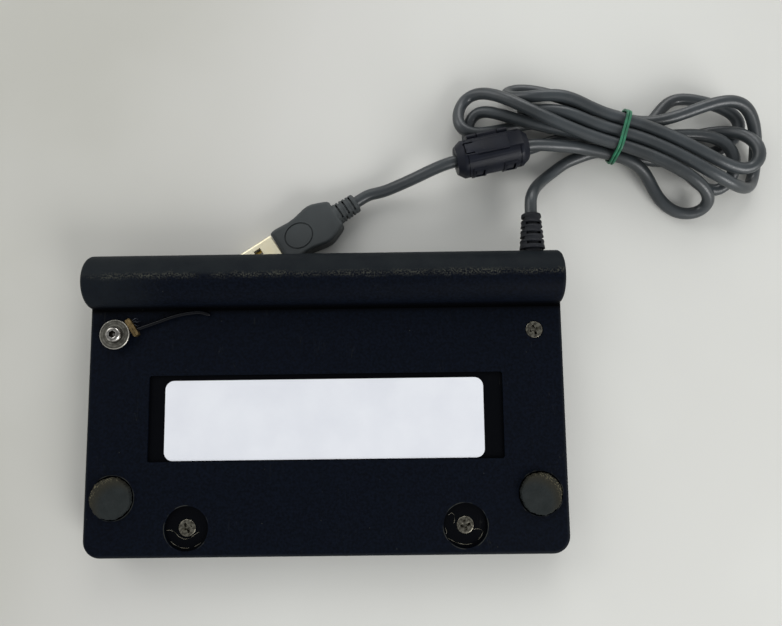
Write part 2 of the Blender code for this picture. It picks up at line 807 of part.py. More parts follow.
def boot_hole(name):
    """Cutter for the hole that the boot's neck sits in, through the rear wall."""
    start = (CABLE_X, ROLL_Y + REST_WALL, CABLE_EXIT_HEIGHT)
    return rod(name, BOOT_NECK_RADIUS + FIT_GAP, start, (CABLE_X, REAR_Y + OVERRUN, CABLE_EXIT_HEIGHT))


def rest_rod(name, radius, half):
    """Cylinder about the pen rest's axis, across the pad."""
    ends = [(x, ROLL_Y, REST_AXIS_HEIGHT) for x in (-half, half)]
    return rod(name, radius, *ends, sides=56)


def make_top_cover():
    """Face shell with the window opening, the pen rest and the screw bosses."""
    top = PARTING_HEIGHT - FIT_GAP
    cover = housing_form("top_cover", -OVERRUN, top)
    half = PAD_WIDTH / 2
    far = half + OVERRUN
    inner = half - SIDE_WALL
    radius = FRONT_CORNER_RADIUS - SIDE_WALL
    outline = rounded_outline((-inner, FRONT_Y + SIDE_WALL), (inner, ROLL_Y), (radius, radius, 0, 0))
    hollow = plate("top_hollow", outline, FACE_WALL, BODY_THICKNESS + OVERRUN)
    combine(hollow, "DIFFERENCE", rest_rod("rest_outer", REST_REACH, far))
    crown = rest_rod("rest_crown", REST_REACH, inner - FIT_GAP)
    slab = box("rest_crown_slab", (-half, FRONT_Y, top - SIDE_WALL), (half, REAR_Y, BODY_THICKNESS))
    combine(crown, "INTERSECT", slab)
    combine(cover, "DIFFERENCE", hollow)
    combine(cover, "UNION", crown)
    root = FACE_WALL / 2
    holes = [
        rest_rod("rest_trough", REST_RADIUS, far),
        box("rest_mouth", (-far, ROLL_Y, -OVERRUN), (far, REAR_Y + OVERRUN, LIP_HEIGHT)),
        boot_hole("lip_groove"),
        window_box("window_rebate", WINDOW_LEDGE, -OVERRUN, WINDOW_REBATE),
        window_box("window_opening", 0, -OVERRUN, FACE_WALL + OVERRUN),
    ]
    for name, (x, y, _) in screw_places().items():
        combine(cover, "UNION", rod(f"{name}_boss", BOSS_RADIUS, (x, y, root), (x, y, top), sides=24))
        ends = [(x, y, z) for z in (FACE_WALL, BODY_THICKNESS)]
        holes.append(rod(f"{name}_bore", screw_shaft(name) + FIT_GAP, *ends, sides=20))
    for i, (x, y) in enumerate(board_screw_places(), 1):
        boss_top = BOARD_HEIGHT - FIT_GAP
        boss = rod(f"board_boss_{i}", BOARD_BOSS_RADIUS, (x, y, root), (x, y, boss_top), sides=20)
        combine(cover, "UNION", boss)
        ends = [(x, y, z) for z in (BOARD_HEIGHT - BOARD_SCREW_REACH - FIT_GAP, BODY_THICKNESS)]
        holes.append(rod(f"board_bore_{i}", BOARD_SCREW_RADIUS + FIT_GAP, *ends, sides=16))
    return combine(cover, "DIFFERENCE", *holes)


def window_box(name, border, low, high, finish=None):
    """Add a box that covers the window and a border round it."""
    half_width, half_height = WINDOW_WIDTH / 2 + border, WINDOW_HEIGHT / 2 + border
    corner = (-half_width, WINDOW_Y - half_height, low)
    return box(name, corner, (half_width, WINDOW_Y + half_height, high), finish=finish)


def make_display():
    """Writing window, gasket, display module and the pen digitiser behind it."""
    window_low = WINDOW_REBATE - FIT_GAP - WINDOW_THICKNESS
    window_box("display_window", WINDOW_LEDGE - FIT_GAP, window_low, window_low + WINDOW_THICKNESS, CLEAR)
    low = FACE_WALL + FIT_GAP
    gasket = window_box("lcd_gasket", GASKET_BORDER, low, low + GASKET_THICKNESS, SEAL)
    combine(gasket, "DIFFERENCE", window_box("gasket_opening", 0, low - OVERRUN, low + OVERRUN))
    low += GASKET_THICKNESS + FIT_GAP
    bezel = window_box("lcd_bezel", BEZEL_BORDER, low, low + BEZEL_DEPTH, STEEL)
    seat = low + BEZEL_SHEET
    combine(
        bezel,
        "DIFFERENCE",
        window_box("bezel_opening", 0, low - OVERRUN, low + OVERRUN),
        window_box("bezel_hollow", BEZEL_BORDER - BEZEL_SHEET, seat, low + BEZEL_DEPTH + OVERRUN),
    )
    fit = BEZEL_BORDER - BEZEL_SHEET - FIT_GAP
    seat += FIT_GAP
    window_box("lcd_glass", fit, seat, seat + GLASS_THICKNESS, GLASS)
    seat += GLASS_THICKNESS + FIT_GAP
    window_box("backlight_guide", fit, seat, seat + GUIDE_THICKNESS, CLEAR)
    low += BEZEL_DEPTH + FIT_GAP
    window_box("sensor_board", BEZEL_BORDER, low, low + SENSOR_THICKNESS, BOARD)
    low += SENSOR_THICKNESS + FIT_GAP
    window_box("sensor_shield", BEZEL_BORDER, low, low + SHIELD_THICKNESS, STEEL)


def board_screw_places():
    """The four corners of the main board that are screwed down."""
    x = BOARD_WIDTH / 2 - BOARD_SCREW_INSET
    front, rear = BOARD_FRONT_Y + BOARD_SCREW_INSET, BOARD_REAR_Y - BOARD_SCREW_INSET
    return [(side * x, y) for side in (-1, 1) for y in (front, rear)]


def make_electronics():
    """Main board with its parts, its screws, the display's ribbon and the wires to the cable."""
    top = BOARD_HEIGHT + BOARD_THICKNESS
    half = BOARD_WIDTH / 2
    board = box(
        "main_board",
        (-half, BOARD_FRONT_Y, BOARD_HEIGHT),
        (half, BOARD_REAR_Y, top),
        finish=BOARD,
    )
    seat = top + FIT_GAP
    shaft_low = BOARD_HEIGHT - BOARD_SCREW_REACH
    for i, (x, y) in enumerate(board_screw_places(), 1):
        ends = [(x, y, z) for z in (BOARD_HEIGHT - OVERRUN, top + OVERRUN)]
        combine(board, "DIFFERENCE", rod(f"board_hole_{i}", BOARD_SCREW_RADIUS + FIT_GAP, *ends, sides=16))
        ends = [(x, y, z) for z in (seat, seat + BOARD_SCREW_HEAD_HEIGHT)]
        screw = rod(f"board_screw_{i}", BOARD_SCREW_HEAD_RADIUS, *ends, finish=SCREW_STEEL, sides=20)
        ends = [(x, y, z) for z in (shaft_low, seat + FIT_GAP)]
        combine(screw, "UNION", rod(f"board_shaft_{i}", BOARD_SCREW_RADIUS, *ends, sides=16))
    middle = (BOARD_FRONT_Y + BOARD_REAR_Y) / 2
    box(
        "controller_chip",
        (CHIP_X - CHIP_SIDE / 2, middle - CHIP_SIDE / 2, seat),
        (CHIP_X + CHIP_SIDE / 2, middle + CHIP_SIDE / 2, seat + CHIP_THICKNESS),
        finish=SEAL,
    )
    header_rear = BOARD_REAR_Y - BOARD_SCREW_INSET
    box(
        "usb_header",
        (HEADER_X - HEADER_WIDTH / 2, header_rear - HEADER_DEPTH, seat),
        (HEADER_X + HEADER_WIDTH / 2, header_rear, seat + HEADER_HEIGHT),
        finish=CREAM,
    )
    socket_front = BOARD_FRONT_Y + RIBBON_SOCKET_INSET
    socket_rear = socket_front + RIBBON_SOCKET_DEPTH
    box(
        "ribbon_connector",
        (RIBBON_X - RIBBON_SOCKET_WIDTH / 2, socket_front, seat),
        (RIBBON_X + RIBBON_SOCKET_WIDTH / 2, socket_rear, seat + RIBBON_SOCKET_HEIGHT),
        finish=CREAM,
    )
    start = WINDOW_Y + WINDOW_HEIGHT / 2 + BEZEL_BORDER + FIT_GAP
    low = FACE_WALL + GASKET_THICKNESS + BEZEL_DEPTH / 2 + 2 * FIT_GAP
    high = seat + RIBBON_SOCKET_HEIGHT / 2
    rings = []
    for share in (0, 0.25, 0.5, 0.75, 1):
        y = start + (socket_front - FIT_GAP - start) * share
        z = low + (high - low) * (1 - math.cos(math.pi * share)) / 2
        left, right = RIBBON_X - RIBBON_WIDTH / 2, RIBBON_X + RIBBON_WIDTH / 2
        above = z + RIBBON_THICKNESS
        rings.append([(left, y, z), (right, y, z), (right, y, above), (left, y, above)])
    section(rings, Matrix.Identity(4), CREAM, "lcd_ribbon")
    plug_in = header_rear + FIT_GAP
    wire_height = seat + HEADER_HEIGHT / 2
    header = Vector((HEADER_X, plug_in, wire_height))
    wires = smooth_route((*behind_all(WIRE_ROUTE), header), 3 * WIRE_RADIUS)
    tube("inner_lead", wires, WIRE_RADIUS, RUBBER)


def make_feet():
    """Two rubber feet with a raised rim, glued in the outer recesses."""
    low = FOOT_FLOOR + FIT_GAP
    high = BODY_THICKNESS + FOOT_PROUD
    inside = FOOT_RADIUS - FOOT_RIM_WIDTH
    profile = [
        (low, 0),
        (low, FOOT_RADIUS),
        (high - FOOT_RIM_HEIGHT, FOOT_RADIUS),
        (high, FOOT_RADIUS - FOOT_RIM_WIDTH / 2),
        (high - FOOT_RIM_HEIGHT, inside),
        (high - FOOT_RIM_HEIGHT, 0),
    ]
    for name, side in (("rubber_foot_left", -1), ("rubber_foot_right", 1)):
        turned(name, profile, Matrix.Translation((side * FOOT_X, FOOT_Y, 0)), finish=RUBBER, steps=40)


def make_label():
    """Blank sticker with round corners."""
    low = LABEL_FLOOR + FIT_GAP
    middle_y = LABEL_RECESS_Y + LABEL_SHIFT_Y
    corners = [
        (LABEL_SHIFT_X + side * LABEL_WIDTH / 2, middle_y + side * LABEL_HEIGHT / 2) for side in (-1, 1)
    ]
    outline = rounded_outline(*corners, [LABEL_CORNER_RADIUS] * 4)
    plate("label_blank", outline, low, low + LABEL_THICKNESS, finish=LABEL)


def cross_cut(name, place, radius, depth):
    """Tools for a cross recess in a screw head whose top is at the place."""
    x, y, z = place
    arm, half = radius * CROSS_ARM_SHARE, CROSS_SLOT_WIDTH / 2
    return [
        box(f"{name}_slot_x", (x - arm, y - half, z - depth), (x + arm, y + half, z + OVERRUN)),
        box(f"{name}_slot_y", (x - half, y - arm, z - depth), (x + half, y + arm, z + OVERRUN)),
    ]


def make_case_screws():
    """Countersunk cross-head screws that hold the two covers together."""
    for name, (x, y, seat) in screw_places().items():
        if name == "tether_screw":
            continue
        neck = seat - SCREW_HEAD_DEPTH
        profile = [
            (seat - SCREW_LENGTH, 0),
            (seat - SCREW_LENGTH, SCREW_SHAFT_RADIUS),
            (neck, SCREW_SHAFT_RADIUS),
            (seat - FIT_GAP / 2, SCREW_HEAD_RADIUS),
            (seat, SCREW_HEAD_RADIUS),
            (seat, 0),
        ]
        screw = turned(name, profile, Matrix.Translation((x, y, 0)), finish=SCREW_STEEL, steps=24)
        combine(screw, "DIFFERENCE", *cross_cut(name, (x, y, seat), SCREW_HEAD_RADIUS, CROSS_SLOT_DEPTH))


def make_tether():
    """Pan-head screw and washer that hold the pen's cord, its crimp and its cut end."""
    x, y = -REAR_SCREW_X, REAR_SCREW_Y
    cord_height = BODY_THICKNESS + FIT_GAP + TETHER_CORD_RADIUS
    washer_low = cord_height + TETHER_CORD_RADIUS + FIT_GAP
    washer_top = washer_low + WASHER_THICKNESS
    ends = [(x, y, z) for z in (washer_low, washer_top)]
    washer = rod("tether_washer", WASHER_RADIUS, *ends, finish=WASHER, sides=40)
    ends = [(x, y, z) for z in (BODY_THICKNESS, washer_top + OVERRUN)]
    combine(washer, "DIFFERENCE", rod("washer_bore", WASHER_BORE_RADIUS, *ends, sides=24))
    head = washer_top + FIT_GAP
    top = head + PAN_HEAD_HEIGHT
    profile = [
        (BODY_THICKNESS - SCREW_LENGTH, 0),
        (BODY_THICKNESS - SCREW_LENGTH, TETHER_SHAFT_RADIUS),
        (head, TETHER_SHAFT_RADIUS),
        (head, PAN_HEAD_RADIUS),
        *((head + PAN_HEAD_HEIGHT * rise, PAN_HEAD_RADIUS * out) for rise, out in PAN_HEAD_SHOULDER_SHARES),
        (top, 0),
    ]
    screw = turned("tether_screw", profile, Matrix.Translation((x, y, 0)), finish=CHROME, steps=28)
    ends = [(x, y, z) for z in (top - SOCKET_RADIUS, top + OVERRUN)]
    combine(screw, "DIFFERENCE", rod("hexagon_socket", SOCKET_RADIUS, *ends, sides=6))
    turn = Matrix.Rotation(CRIMP_TURN, 4, "Z")
    crimp_place = Matrix.Translation((x + CRIMP_OFFSET_X, y + CRIMP_OFFSET_Y, cord_height)) @ turn
    half = (CRIMP_LENGTH / 2, CRIMP_WIDTH / 2)
    outline = rounded_outline((-half[0], -half[1]), half, [CRIMP_LENGTH / 3] * 4, steps=2)
    crimp_low = BODY_THICKNESS + FIT_GAP - cord_height
    crimp = plate("tether_crimp", outline, crimp_low, crimp_low + CRIMP_HEIGHT, finish=BRASS)
    crimp.matrix_world = crimp_place
    loop_radius = TETHER_SHAFT_RADIUS + FIT_GAP + TETHER_CORD_RADIUS
    face = -half[0] - FIT_GAP
    straight = face - 2 * TETHER_CORD_RADIUS
    heading = crimp_place.translation.xy - Vector((x, y))
    middle = math.atan2(heading.y, heading.x)
    bow = [
        (x + loop_radius * math.cos(middle + a), y + loop_radius * math.sin(middle + a), cord_height)
        for a in (math.radians(60 + 240 * i / 10) for i in range(11))
    ]
    spread = TETHER_CORD_RADIUS + FIT_GAP
    ends = [[crimp_place @ Vector((a, side * spread, 0)) for a in (face, straight)] for side in (1, -1)]
    bend = smooth_route((ends[0][1], *bow, ends[1][1]), loop_radius / 2)
    tube("tether_loop", [ends[0][0], *bend, ends[1][0]], TETHER_CORD_RADIUS, CORD)
    away = crimp_place @ Vector((half[0] + FIT_GAP, 0, 0))
    straight = crimp_place @ Vector((half[0] + FIT_GAP + 2 * TETHER_CORD_RADIUS, 0, 0))
    rest = [(x + px, y + py, cord_height) for px, py in TETHER_STUB]
    stub = smooth_route((straight, *rest), 4 * TETHER_CORD_RADIUS)
    tube("tether_stub", [away, *stub], TETHER_CORD_RADIUS, CORD)


def groove_middles(start, stop, count):
    """Places of evenly spaced ring grooves along a cone."""
    return [start + (stop - start) * (i + 1) / (count + 1) for i in range(count)]


def ribbed_profile(start, stop, first_radius, last_radius, count, sizes):
    """Outline of a cone with ring grooves: points of (along, radius)."""
    width, depth, _ = sizes
    points = [(start, first_radius)]
    for middle in groove_middles(start, stop, count):
        surface = first_radius + (last_radius - first_radius) * (middle - start) / (stop - start)
        near, far = middle - width / 2, middle + width / 2
        points += [(near, surface), (near, surface - depth), (far, surface - depth), (far, surface)]
    points.append((stop, last_radius))
    return points


def add_bridges(target, axis, start, stop, first_radius, last_radius, count, sizes, parent=None):
    """Leave two bridges standing in each groove, a quarter turn on from one to the next."""
    width, depth, bridge = sizes
    for i, middle in enumerate(groove_middles(start, stop, count)):
        surface = first_radius + (last_radius - first_radius) * (middle - start) / (stop - start)
        across, along = surface - depth / 4, bridge / 2
        if i % 2:
            across, along = along, across
        name = f"{target.name}_bridge_{i}"
        bar = box(name, (-across, -along, middle - width), (across, along, middle + width), parent)
        bar.data.transform(axis)
        combine(target, "UNION", bar)


def make_boot():
    """Strain relief: an inner flange, a ribbed cone outside and a flat towards the parting."""
    wall_inside = REAR_Y - BOOT_FLANGE_SETBACK
    flange_start = wall_inside - BOOT_FLANGE_LENGTH
    root = REAR_Y + FIT_GAP
    tip = root + BOOT_LENGTH
    cone = (root, tip - BOOT_TIP_ROUND, BOOT_BASE_RADIUS, BOOT_TIP_RADIUS, BOOT_GROOVE_COUNT, BOOT_GROOVE)
    profile = [
        (flange_start, 0),
        (flange_start, BOOT_FLANGE_RADIUS),
        (wall_inside, BOOT_FLANGE_RADIUS),
        (wall_inside, BOOT_NECK_RADIUS),
        (root, BOOT_NECK_RADIUS),
        *ribbed_profile(*cone),
        (tip, BOOT_TIP_RADIUS - BOOT_TIP_ROUND),
        (tip, 0),
    ]
    axis = along_y((CABLE_X, 0, CABLE_EXIT_HEIGHT))
    boot = turned("cable_boot", profile, axis, finish=RUBBER, steps=32)
    add_bridges(boot, axis, *cone)
    reach = BOOT_FLANGE_RADIUS + OVERRUN
    flat = box(
        "boot_flat",
        (CABLE_X - reach, flange_start - OVERRUN, PARTING_HEIGHT - reach),
        (CABLE_X + reach, wall_inside + FIT_GAP, REST_TOP + REST_WALL + FIT_GAP),
    )
    return combine(boot, "DIFFERENCE", flat)


def lead_points(hank):
    """Centreline of the cable from the boot to the start of the hank."""
    heading = (hank[1] - hank[0]).normalized()
    last = hank[0] - heading * FIT_GAP
    before = last - heading * 2 * CABLE_RADIUS
    start = Vector((CABLE_X, REAR_Y + BOOT_LENGTH + 2 * FIT_GAP, CABLE_EXIT_HEIGHT))
    after = start + Vector((0, 2 * CABLE_RADIUS, 0))
    knots = (after, *behind_all(LEAD_ROUTE), before)
    route = smooth_route(knots, ROUTE_STEP, Vector((0, 1, 0)), heading)
    floor = CABLE_RADIUS + TABLE_GAP
    return [start, *((x, y, max(z, floor)) for x, y, z in route), last]


def clamp_place():
    """Middle of the clamp."""
    return behind_pad(CLAMP_OFFSET_X, CLAMP_OFFSET_Y, CLAMP_HEIGHT)


def plug_place():
    """Root of the plug's relief."""
    return behind_pad(PLUG_OFFSET_X, PLUG_OFFSET_Y, PLUG_HEIGHT)


def tail_points(hank):
    """Centreline of the cable from the end of the hank, through the clamp, to the plug."""
    heading = (hank[-1] - hank[-2]).normalized()
    first = hank[-1] + heading * FIT_GAP
    after = first + heading * 2 * CABLE_RADIUS
    clamp = Matrix.Translation(clamp_place()) @ Matrix.Rotation(CLAMP_TURN, 4, "Z")
    through = [clamp @ Vector((CLAMP_LENGTH * share, 0, 0)) for share in CLAMP_LINE_SHARES]
    out = Matrix.Rotation(PLUG_TURN, 4, "Z").col[0].xyz
    last = plug_place() + out * (FIT_GAP + RELIEF_LENGTH + FIT_GAP)
    before = last + out * 2 * CABLE_RADIUS
    knots = (after, *behind_all(TAIL_ROUTE), *through, *behind_all(PLUG_ROUTE), before)
    return [first, *smooth_route(knots, ROUTE_STEP, heading, -out), last]


def make_band():
    """Flat elastic band round the outer strands of the waist."""
    order = ("low_front", "low_rear", "mid_rear", "top_rear", "top_front", "mid_front")
    corners = [Vector(slot_place(slot)) for slot in order]
    inner = CABLE_RADIUS + FIT_GAP
    rings = []
    for before, corner, after in zip(corners[-1:] + corners, corners, corners[1:] + corners[:1]):
        normals = [Vector((d.y, -d.x)).normalized() for d in (corner - before, after - corner)]
        for i in range(BAND_ARC_STEPS + 1):
            out = (normals[0] + (normals[1] - normals[0]) * i / BAND_ARC_STEPS).normalized()
            near, far = corner + out * inner, corner + out * (inner + BAND_THICKNESS)
            half = BAND_WIDTH / 2
            rings.append([(-half, *near), (half, *near), (half, *far), (-half, *far)])
    return section(rings, hank_frame(), ELASTIC, "rubber_band", closed=True)


def make_cable():
    """Boot, lead, hank and tail of the cable, and the band round the hank."""
    make_boot()
    hank = hank_points()
    tube("cable_hank", hank, CABLE_RADIUS, CORD, resolution=1)
    tube("cable_lead", lead_points(hank), CABLE_RADIUS, CORD)
    tube("cable_tail", tail_points(hank), CABLE_RADIUS, CORD)
    make_band()
    print(f"least gap between the strands of the hank: {least_gap(hank, 2 * CABLE_RADIUS):.5f} m")


def clamp_half(name, frame, finish, upper, bore, outer, half_length, tip=None):
    """Half of a sleeve round the cable, split at the clamp's middle plane."""
    profile = [(-half_length, bore)]
    if tip is None:
        profile += [(-half_length, outer), (half_length, outer)]
    else:
        shoulder = half_length - CLAMP_TAPER
        profile += [(-half_length, tip), (-shoulder, outer), (shoulder, outer), (half_length, tip)]
    profile.append((half_length, bore))
    if tip is not None:
        inside = half_length - CLAMP_END_WALL
        hollow = outer - CLAMP_WALL
        profile += [(inside, bore), (inside, hollow), (-inside, hollow), (-inside, bore)]
    sleeve = turned(name, profile, along_x((0, 0, 0)), parent=frame, finish=finish, steps=40)
    far = CLAMP_LENGTH
    split = FIT_GAP / 2
    low, high = (-far, split) if upper else (-split, far)
    slab = box(f"{name}_slab", (-far, -far, low), (far, far, high), frame)
    return combine(sleeve, "DIFFERENCE", slab)


def make_clamp():
    """Ferrite clamp on the cable: two case halves with a hinge and latches, and two cores."""
    frame = add_frame("clamp_frame", clamp_place(), CLAMP_TURN)
    bore = CABLE_RADIUS + CLAMP_BORE_GAP
    half = CLAMP_LENGTH / 2
    halves = {}
    for name, upper in (("ferrite_case_base", False), ("ferrite_case_lid", True)):
        halves[upper] = clamp_half(name, frame, CASE, upper, bore, CLAMP_RADIUS, half, CLAMP_TIP_RADIUS)
    core_outer = CLAMP_RADIUS - CLAMP_WALL - FIT_GAP
    core_half = half - CLAMP_END_WALL - FIT_GAP
    clamp_half("ferrite_core_lower", frame, FERRITE, False, bore, core_outer, core_half)
    clamp_half("ferrite_core_upper", frame, FERRITE, True, bore, core_outer, core_half)
    add_hinge(frame, halves)
    add_latches(frame, halves)
    turn = Matrix.Rotation(STRIP_ANGLE, 4, "X")
    for name, length, width in (
        ("strip", STRIP_LENGTH, STRIP_WIDTH),
        ("strip_step", STRIP_STEP_LENGTH, STRIP_STEP_WIDTH),
    ):
        rise = CLAMP_RADIUS + STRIP_PROUD
        low = (-length / 2, CLAMP_RADIUS - CLAMP_WALL / 2, -width / 2)
        raised = box(f"clamp_{name}", low, (length / 2, rise, width / 2), frame)
        raised.data.transform(turn)
        combine(halves[True], "UNION", raised)


def add_hinge(frame, halves):
    """Knuckles along the clamp's rear edge, two on the base and one between them on the lid."""
    y = CLAMP_RADIUS + HINGE_STAND_OFF
    start = -HINGE_LENGTH / 2
    for i, share in enumerate(HINGE_SHARES):
        stop = start + HINGE_LENGTH * share
        upper = i == 1
        low, high = start + FIT_GAP / 2, stop - FIT_GAP / 2
        room = rod(
            f"hinge_room_{i}", HINGE_RADIUS + FIT_GAP, (start, y, 0), (stop, y, 0), frame, sides=20
        )
        combine(halves[not upper], "DIFFERENCE", room)
        side = 1 if upper else -1
        heights = sorted((side * FIT_GAP, side * HINGE_RADIUS * HINGE_WEB_SHARE))
        web = box(
            f"hinge_web_{i}",
            (low, CLAMP_RADIUS - CLAMP_WALL / 2, heights[0]),
            (high, y, heights[1]),
            frame,
        )
        knuckle = rod(f"hinge_knuckle_{i}", HINGE_RADIUS, (low, y, 0), (high, y, 0), frame, sides=20)
        combine(halves[upper], "UNION", web, knuckle)
        start = stop


def add_latches(frame, halves):
    """Two latch straps on the lid, each over a nub on the base."""
    inner = -CLAMP_RADIUS - LATCH_STAND_OFF
    outer = inner - LATCH_THICKNESS
    for side in (-1, 1):
        x = side * LATCH_X
        half = LATCH_WIDTH / 2
        strap = box(
            f"latch_strap_{side}", (x - half, outer, -LATCH_DROP), (x + half, inner, LATCH_RISE), frame
        )
        bridge = box(
            f"latch_bridge_{side}",
            (x - half, inner - LATCH_THICKNESS / 2, LATCH_RISE - LATCH_BRIDGE_HEIGHT),
            (x + half, inner + LATCH_REACH, LATCH_RISE),
            frame,
        )
        combine(halves[True], "UNION", strap, bridge)
        middle = -LATCH_DROP + LATCH_WINDOW_HEIGHT
        window = box(
            f"latch_window_{side}",
            (x - LATCH_WINDOW_WIDTH / 2, outer - OVERRUN, middle - LATCH_WINDOW_HEIGHT / 2),
            (x + LATCH_WINDOW_WIDTH / 2, inner + FIT_GAP, middle + LATCH_WINDOW_HEIGHT / 2),
            frame,
        )
        combine(halves[True], "DIFFERENCE", window)
        nub = box(
            f"latch_nub_{side}",
            (x - LATCH_NUB_WIDTH / 2, inner + LATCH_STAND_OFF / 2, middle - LATCH_NUB_HEIGHT / 2),
            (x + LATCH_NUB_WIDTH / 2, LATCH_NUB_ROOT - CLAMP_RADIUS, middle + LATCH_NUB_HEIGHT / 2),
            frame,
        )
        hollow = rod(
            f"latch_nub_core_{side}",
            CLAMP_RADIUS - CLAMP_WALL / 2,
            (-CLAMP_LENGTH, 0, 0),
            (CLAMP_LENGTH, 0, 0),
            frame,
            sides=40,
        )
        combine(nub, "DIFFERENCE", hollow)
        combine(halves[False], "UNION", nub)


def plug_outline():
    """Overmould seen from above: narrow neck, wide shoulders and a slim front grip."""
    stations = (
        (0, PLUG_NECK_WIDTH),
        (PLUG_SHOULDER_SHARES[0], PLUG_WIDE_WIDTH),
        (PLUG_SHOULDER_SHARES[1], PLUG_WIDE_WIDTH),
        (PLUG_WAIST_SHARES[0], PLUG_WAIST_WIDTH),
        (PLUG_WAIST_SHARES[1], PLUG_WAIST_WIDTH),
        (1 - PLUG_SHOULDER_SHARES[0], PLUG_FRONT_WIDTH),
        (1, PLUG_FRONT_WIDTH - PLUG_ROUND),
    )
    right = [(-PLUG_LENGTH * share, width / 2) for share, width in stations]
    return right + [(x, -y) for x, y in right[::-1]]


def make_plug():
    """Plug: overmould, ribbed relief, metal shell, tongue and four contacts."""
    frame = add_frame("plug_frame", plug_place(), PLUG_TURN)
    thick = PLUG_THICKNESS / 2
    grip = plate("plug_overmould", plug_outline(), -thick, thick, frame, RUBBER, PLUG_ROUND)
    tip_radius = RELIEF_RADIUS * RELIEF_TIP_SHARE
    cone = (0, RELIEF_LENGTH - BOOT_TIP_ROUND, RELIEF_RADIUS, tip_radius, RELIEF_GROOVE_COUNT, RELIEF_GROOVE)
    relief = [
        (-RELIEF_ROOT, 0),
        (-RELIEF_ROOT, RELIEF_RADIUS),
        *ribbed_profile(*cone)[1:],
        (RELIEF_LENGTH, tip_radius - BOOT_TIP_ROUND),
        (RELIEF_LENGTH, 0),
    ]
    axis = along_x((0, 0, 0))
    combine(grip, "UNION", turned("plug_relief", relief, axis, frame, steps=32))
    add_bridges(grip, axis, *cone, frame)
    oval_x = -PLUG_LENGTH + PLUG_OVAL_FRONT
    oval = [
        (oval_x + PLUG_OVAL_LENGTH / 2 * math.cos(a), PLUG_OVAL_WIDTH / 2 * math.sin(a))
        for a in (math.radians(i * 15) for i in range(24))
    ]
    combine(grip, "DIFFERENCE", plate("plug_oval", oval, thick - PLUG_OVAL_DEPTH, thick + OVERRUN, frame))
    back = -PLUG_LENGTH - FIT_GAP
    shell = shell_tube(frame, back)
    tongue_back = back - FIT_GAP
    tongue_front = back - SHELL_LENGTH + TONGUE_SETBACK
    low = -SHELL_HEIGHT / 2 + SHELL_SHEET + FIT_GAP
    tongue = box(
        "plug_tongue",
        (tongue_front, -TONGUE_WIDTH / 2, low),
        (tongue_back, TONGUE_WIDTH / 2, low + TONGUE_THICKNESS),
        frame,
        CREAM,
    )
    top = low + TONGUE_THICKNESS
    start = tongue_front + TONGUE_SETBACK
    for i, share in enumerate(CONTACT_SHARES, 1):
        y = TONGUE_WIDTH * share
        half = CONTACT_WIDTH / 2
        seat = box(
            f"contact_groove_{i}",
            (start - FIT_GAP, y - half - FIT_GAP, top - CONTACT_SEAT),
            (start + CONTACT_LENGTH + FIT_GAP, y + half + FIT_GAP, top + OVERRUN),
            frame,
        )
        combine(tongue, "DIFFERENCE", seat)
        low_face = top - CONTACT_SEAT + FIT_GAP / 3
        box(
            f"plug_contact_{i}",
            (start, y - half, low_face),
            (start + CONTACT_LENGTH, y + half, low_face + CONTACT_THICKNESS),
            frame,
            BRASS,
        )
    return shell


def shell_tube(frame, back):
    """Rectangular metal shell with rounded edges, open at the front, with latch holes."""
    half = (SHELL_WIDTH / 2, SHELL_HEIGHT / 2)
    lay = Matrix.Translation((back, 0, 0)) @ Matrix.Rotation(math.radians(-90), 4, "Y")
    outline = rounded_outline((-half[1], -half[0]), (half[1], half[0]), [SHELL_CORNER] * 4, 3)
    shell = plate("plug_shell", outline, 0, SHELL_LENGTH, frame, SHELL_STEEL)
    shell.data.transform(lay)
    inner = (half[0] - SHELL_SHEET, half[1] - SHELL_SHEET)
    radius = SHELL_CORNER - SHELL_SHEET
    outline = rounded_outline((-inner[1], -inner[0]), (inner[1], inner[0]), [radius] * 4, 3)
    hollow = plate("shell_hollow", outline, -OVERRUN, SHELL_LENGTH + OVERRUN, frame)
    hollow.data.transform(lay)
    slots = [
        box(
            f"shell_slot_{side}",
            (back - SHELL_SLOT_BACK - SHELL_SLOT, side * SHELL_SLOT_X - SHELL_SLOT / 2, -half[1] - OVERRUN),
            (back - SHELL_SLOT_BACK, side * SHELL_SLOT_X + SHELL_SLOT / 2, half[1] + OVERRUN),
            frame,
        )
        for side in (-1, 1)
    ]
    return combine(shell, "DIFFERENCE", hollow, *slots)


clear_scene()
PAD = make_collection("signature_pad")
CUTTERS = make_collection("cutters")
HOUSING = material("housing plastic", (0.010, 0.012, 0.018), 0.5)
CLEAR = material("clear plastic", (0.70, 0.74, 0.78), 0.1, alpha=0.35)
GLASS = material("display glass", (0.06, 0.07, 0.08), 0.1)
SEAL = material("black foam", (0.02, 0.02, 0.02), 0.9)
STEEL = material("sheet steel", (0.55, 0.56, 0.58), 0.35, 1.0)
BOARD = material("circuit board", (0.02, 0.14, 0.06), 0.5)
CREAM = material("cream plastic", (0.72, 0.66, 0.52), 0.5)
RUBBER = material("black rubber", (0.035, 0.038, 0.040), 0.7)
CORD = material("grey vinyl", (0.075, 0.085, 0.090), 0.5)
ELASTIC = material("green elastic", (0.02, 0.18, 0.09), 0.6)
CASE = material("ferrite case plastic", (0.018, 0.019, 0.028), 0.45)
FERRITE = material("ferrite", (0.04, 0.04, 0.045), 0.6)
SCREW_STEEL = material("zinc screw", (0.35, 0.34, 0.30), 0.4, 1.0)
CHROME = material("bright screw", (0.75, 0.75, 0.75), 0.2, 1.0)
WASHER = material("nickel washer", (0.40, 0.40, 0.37), 0.35, 1.0)
BRASS = material("brass", (0.45, 0.33, 0.14), 0.35, 1.0)
SHELL_STEEL = material("plated shell", (0.80, 0.76, 0.62), 0.25, 1.0)
LABEL = material("white label", (0.74, 0.75, 0.78), 0.6)

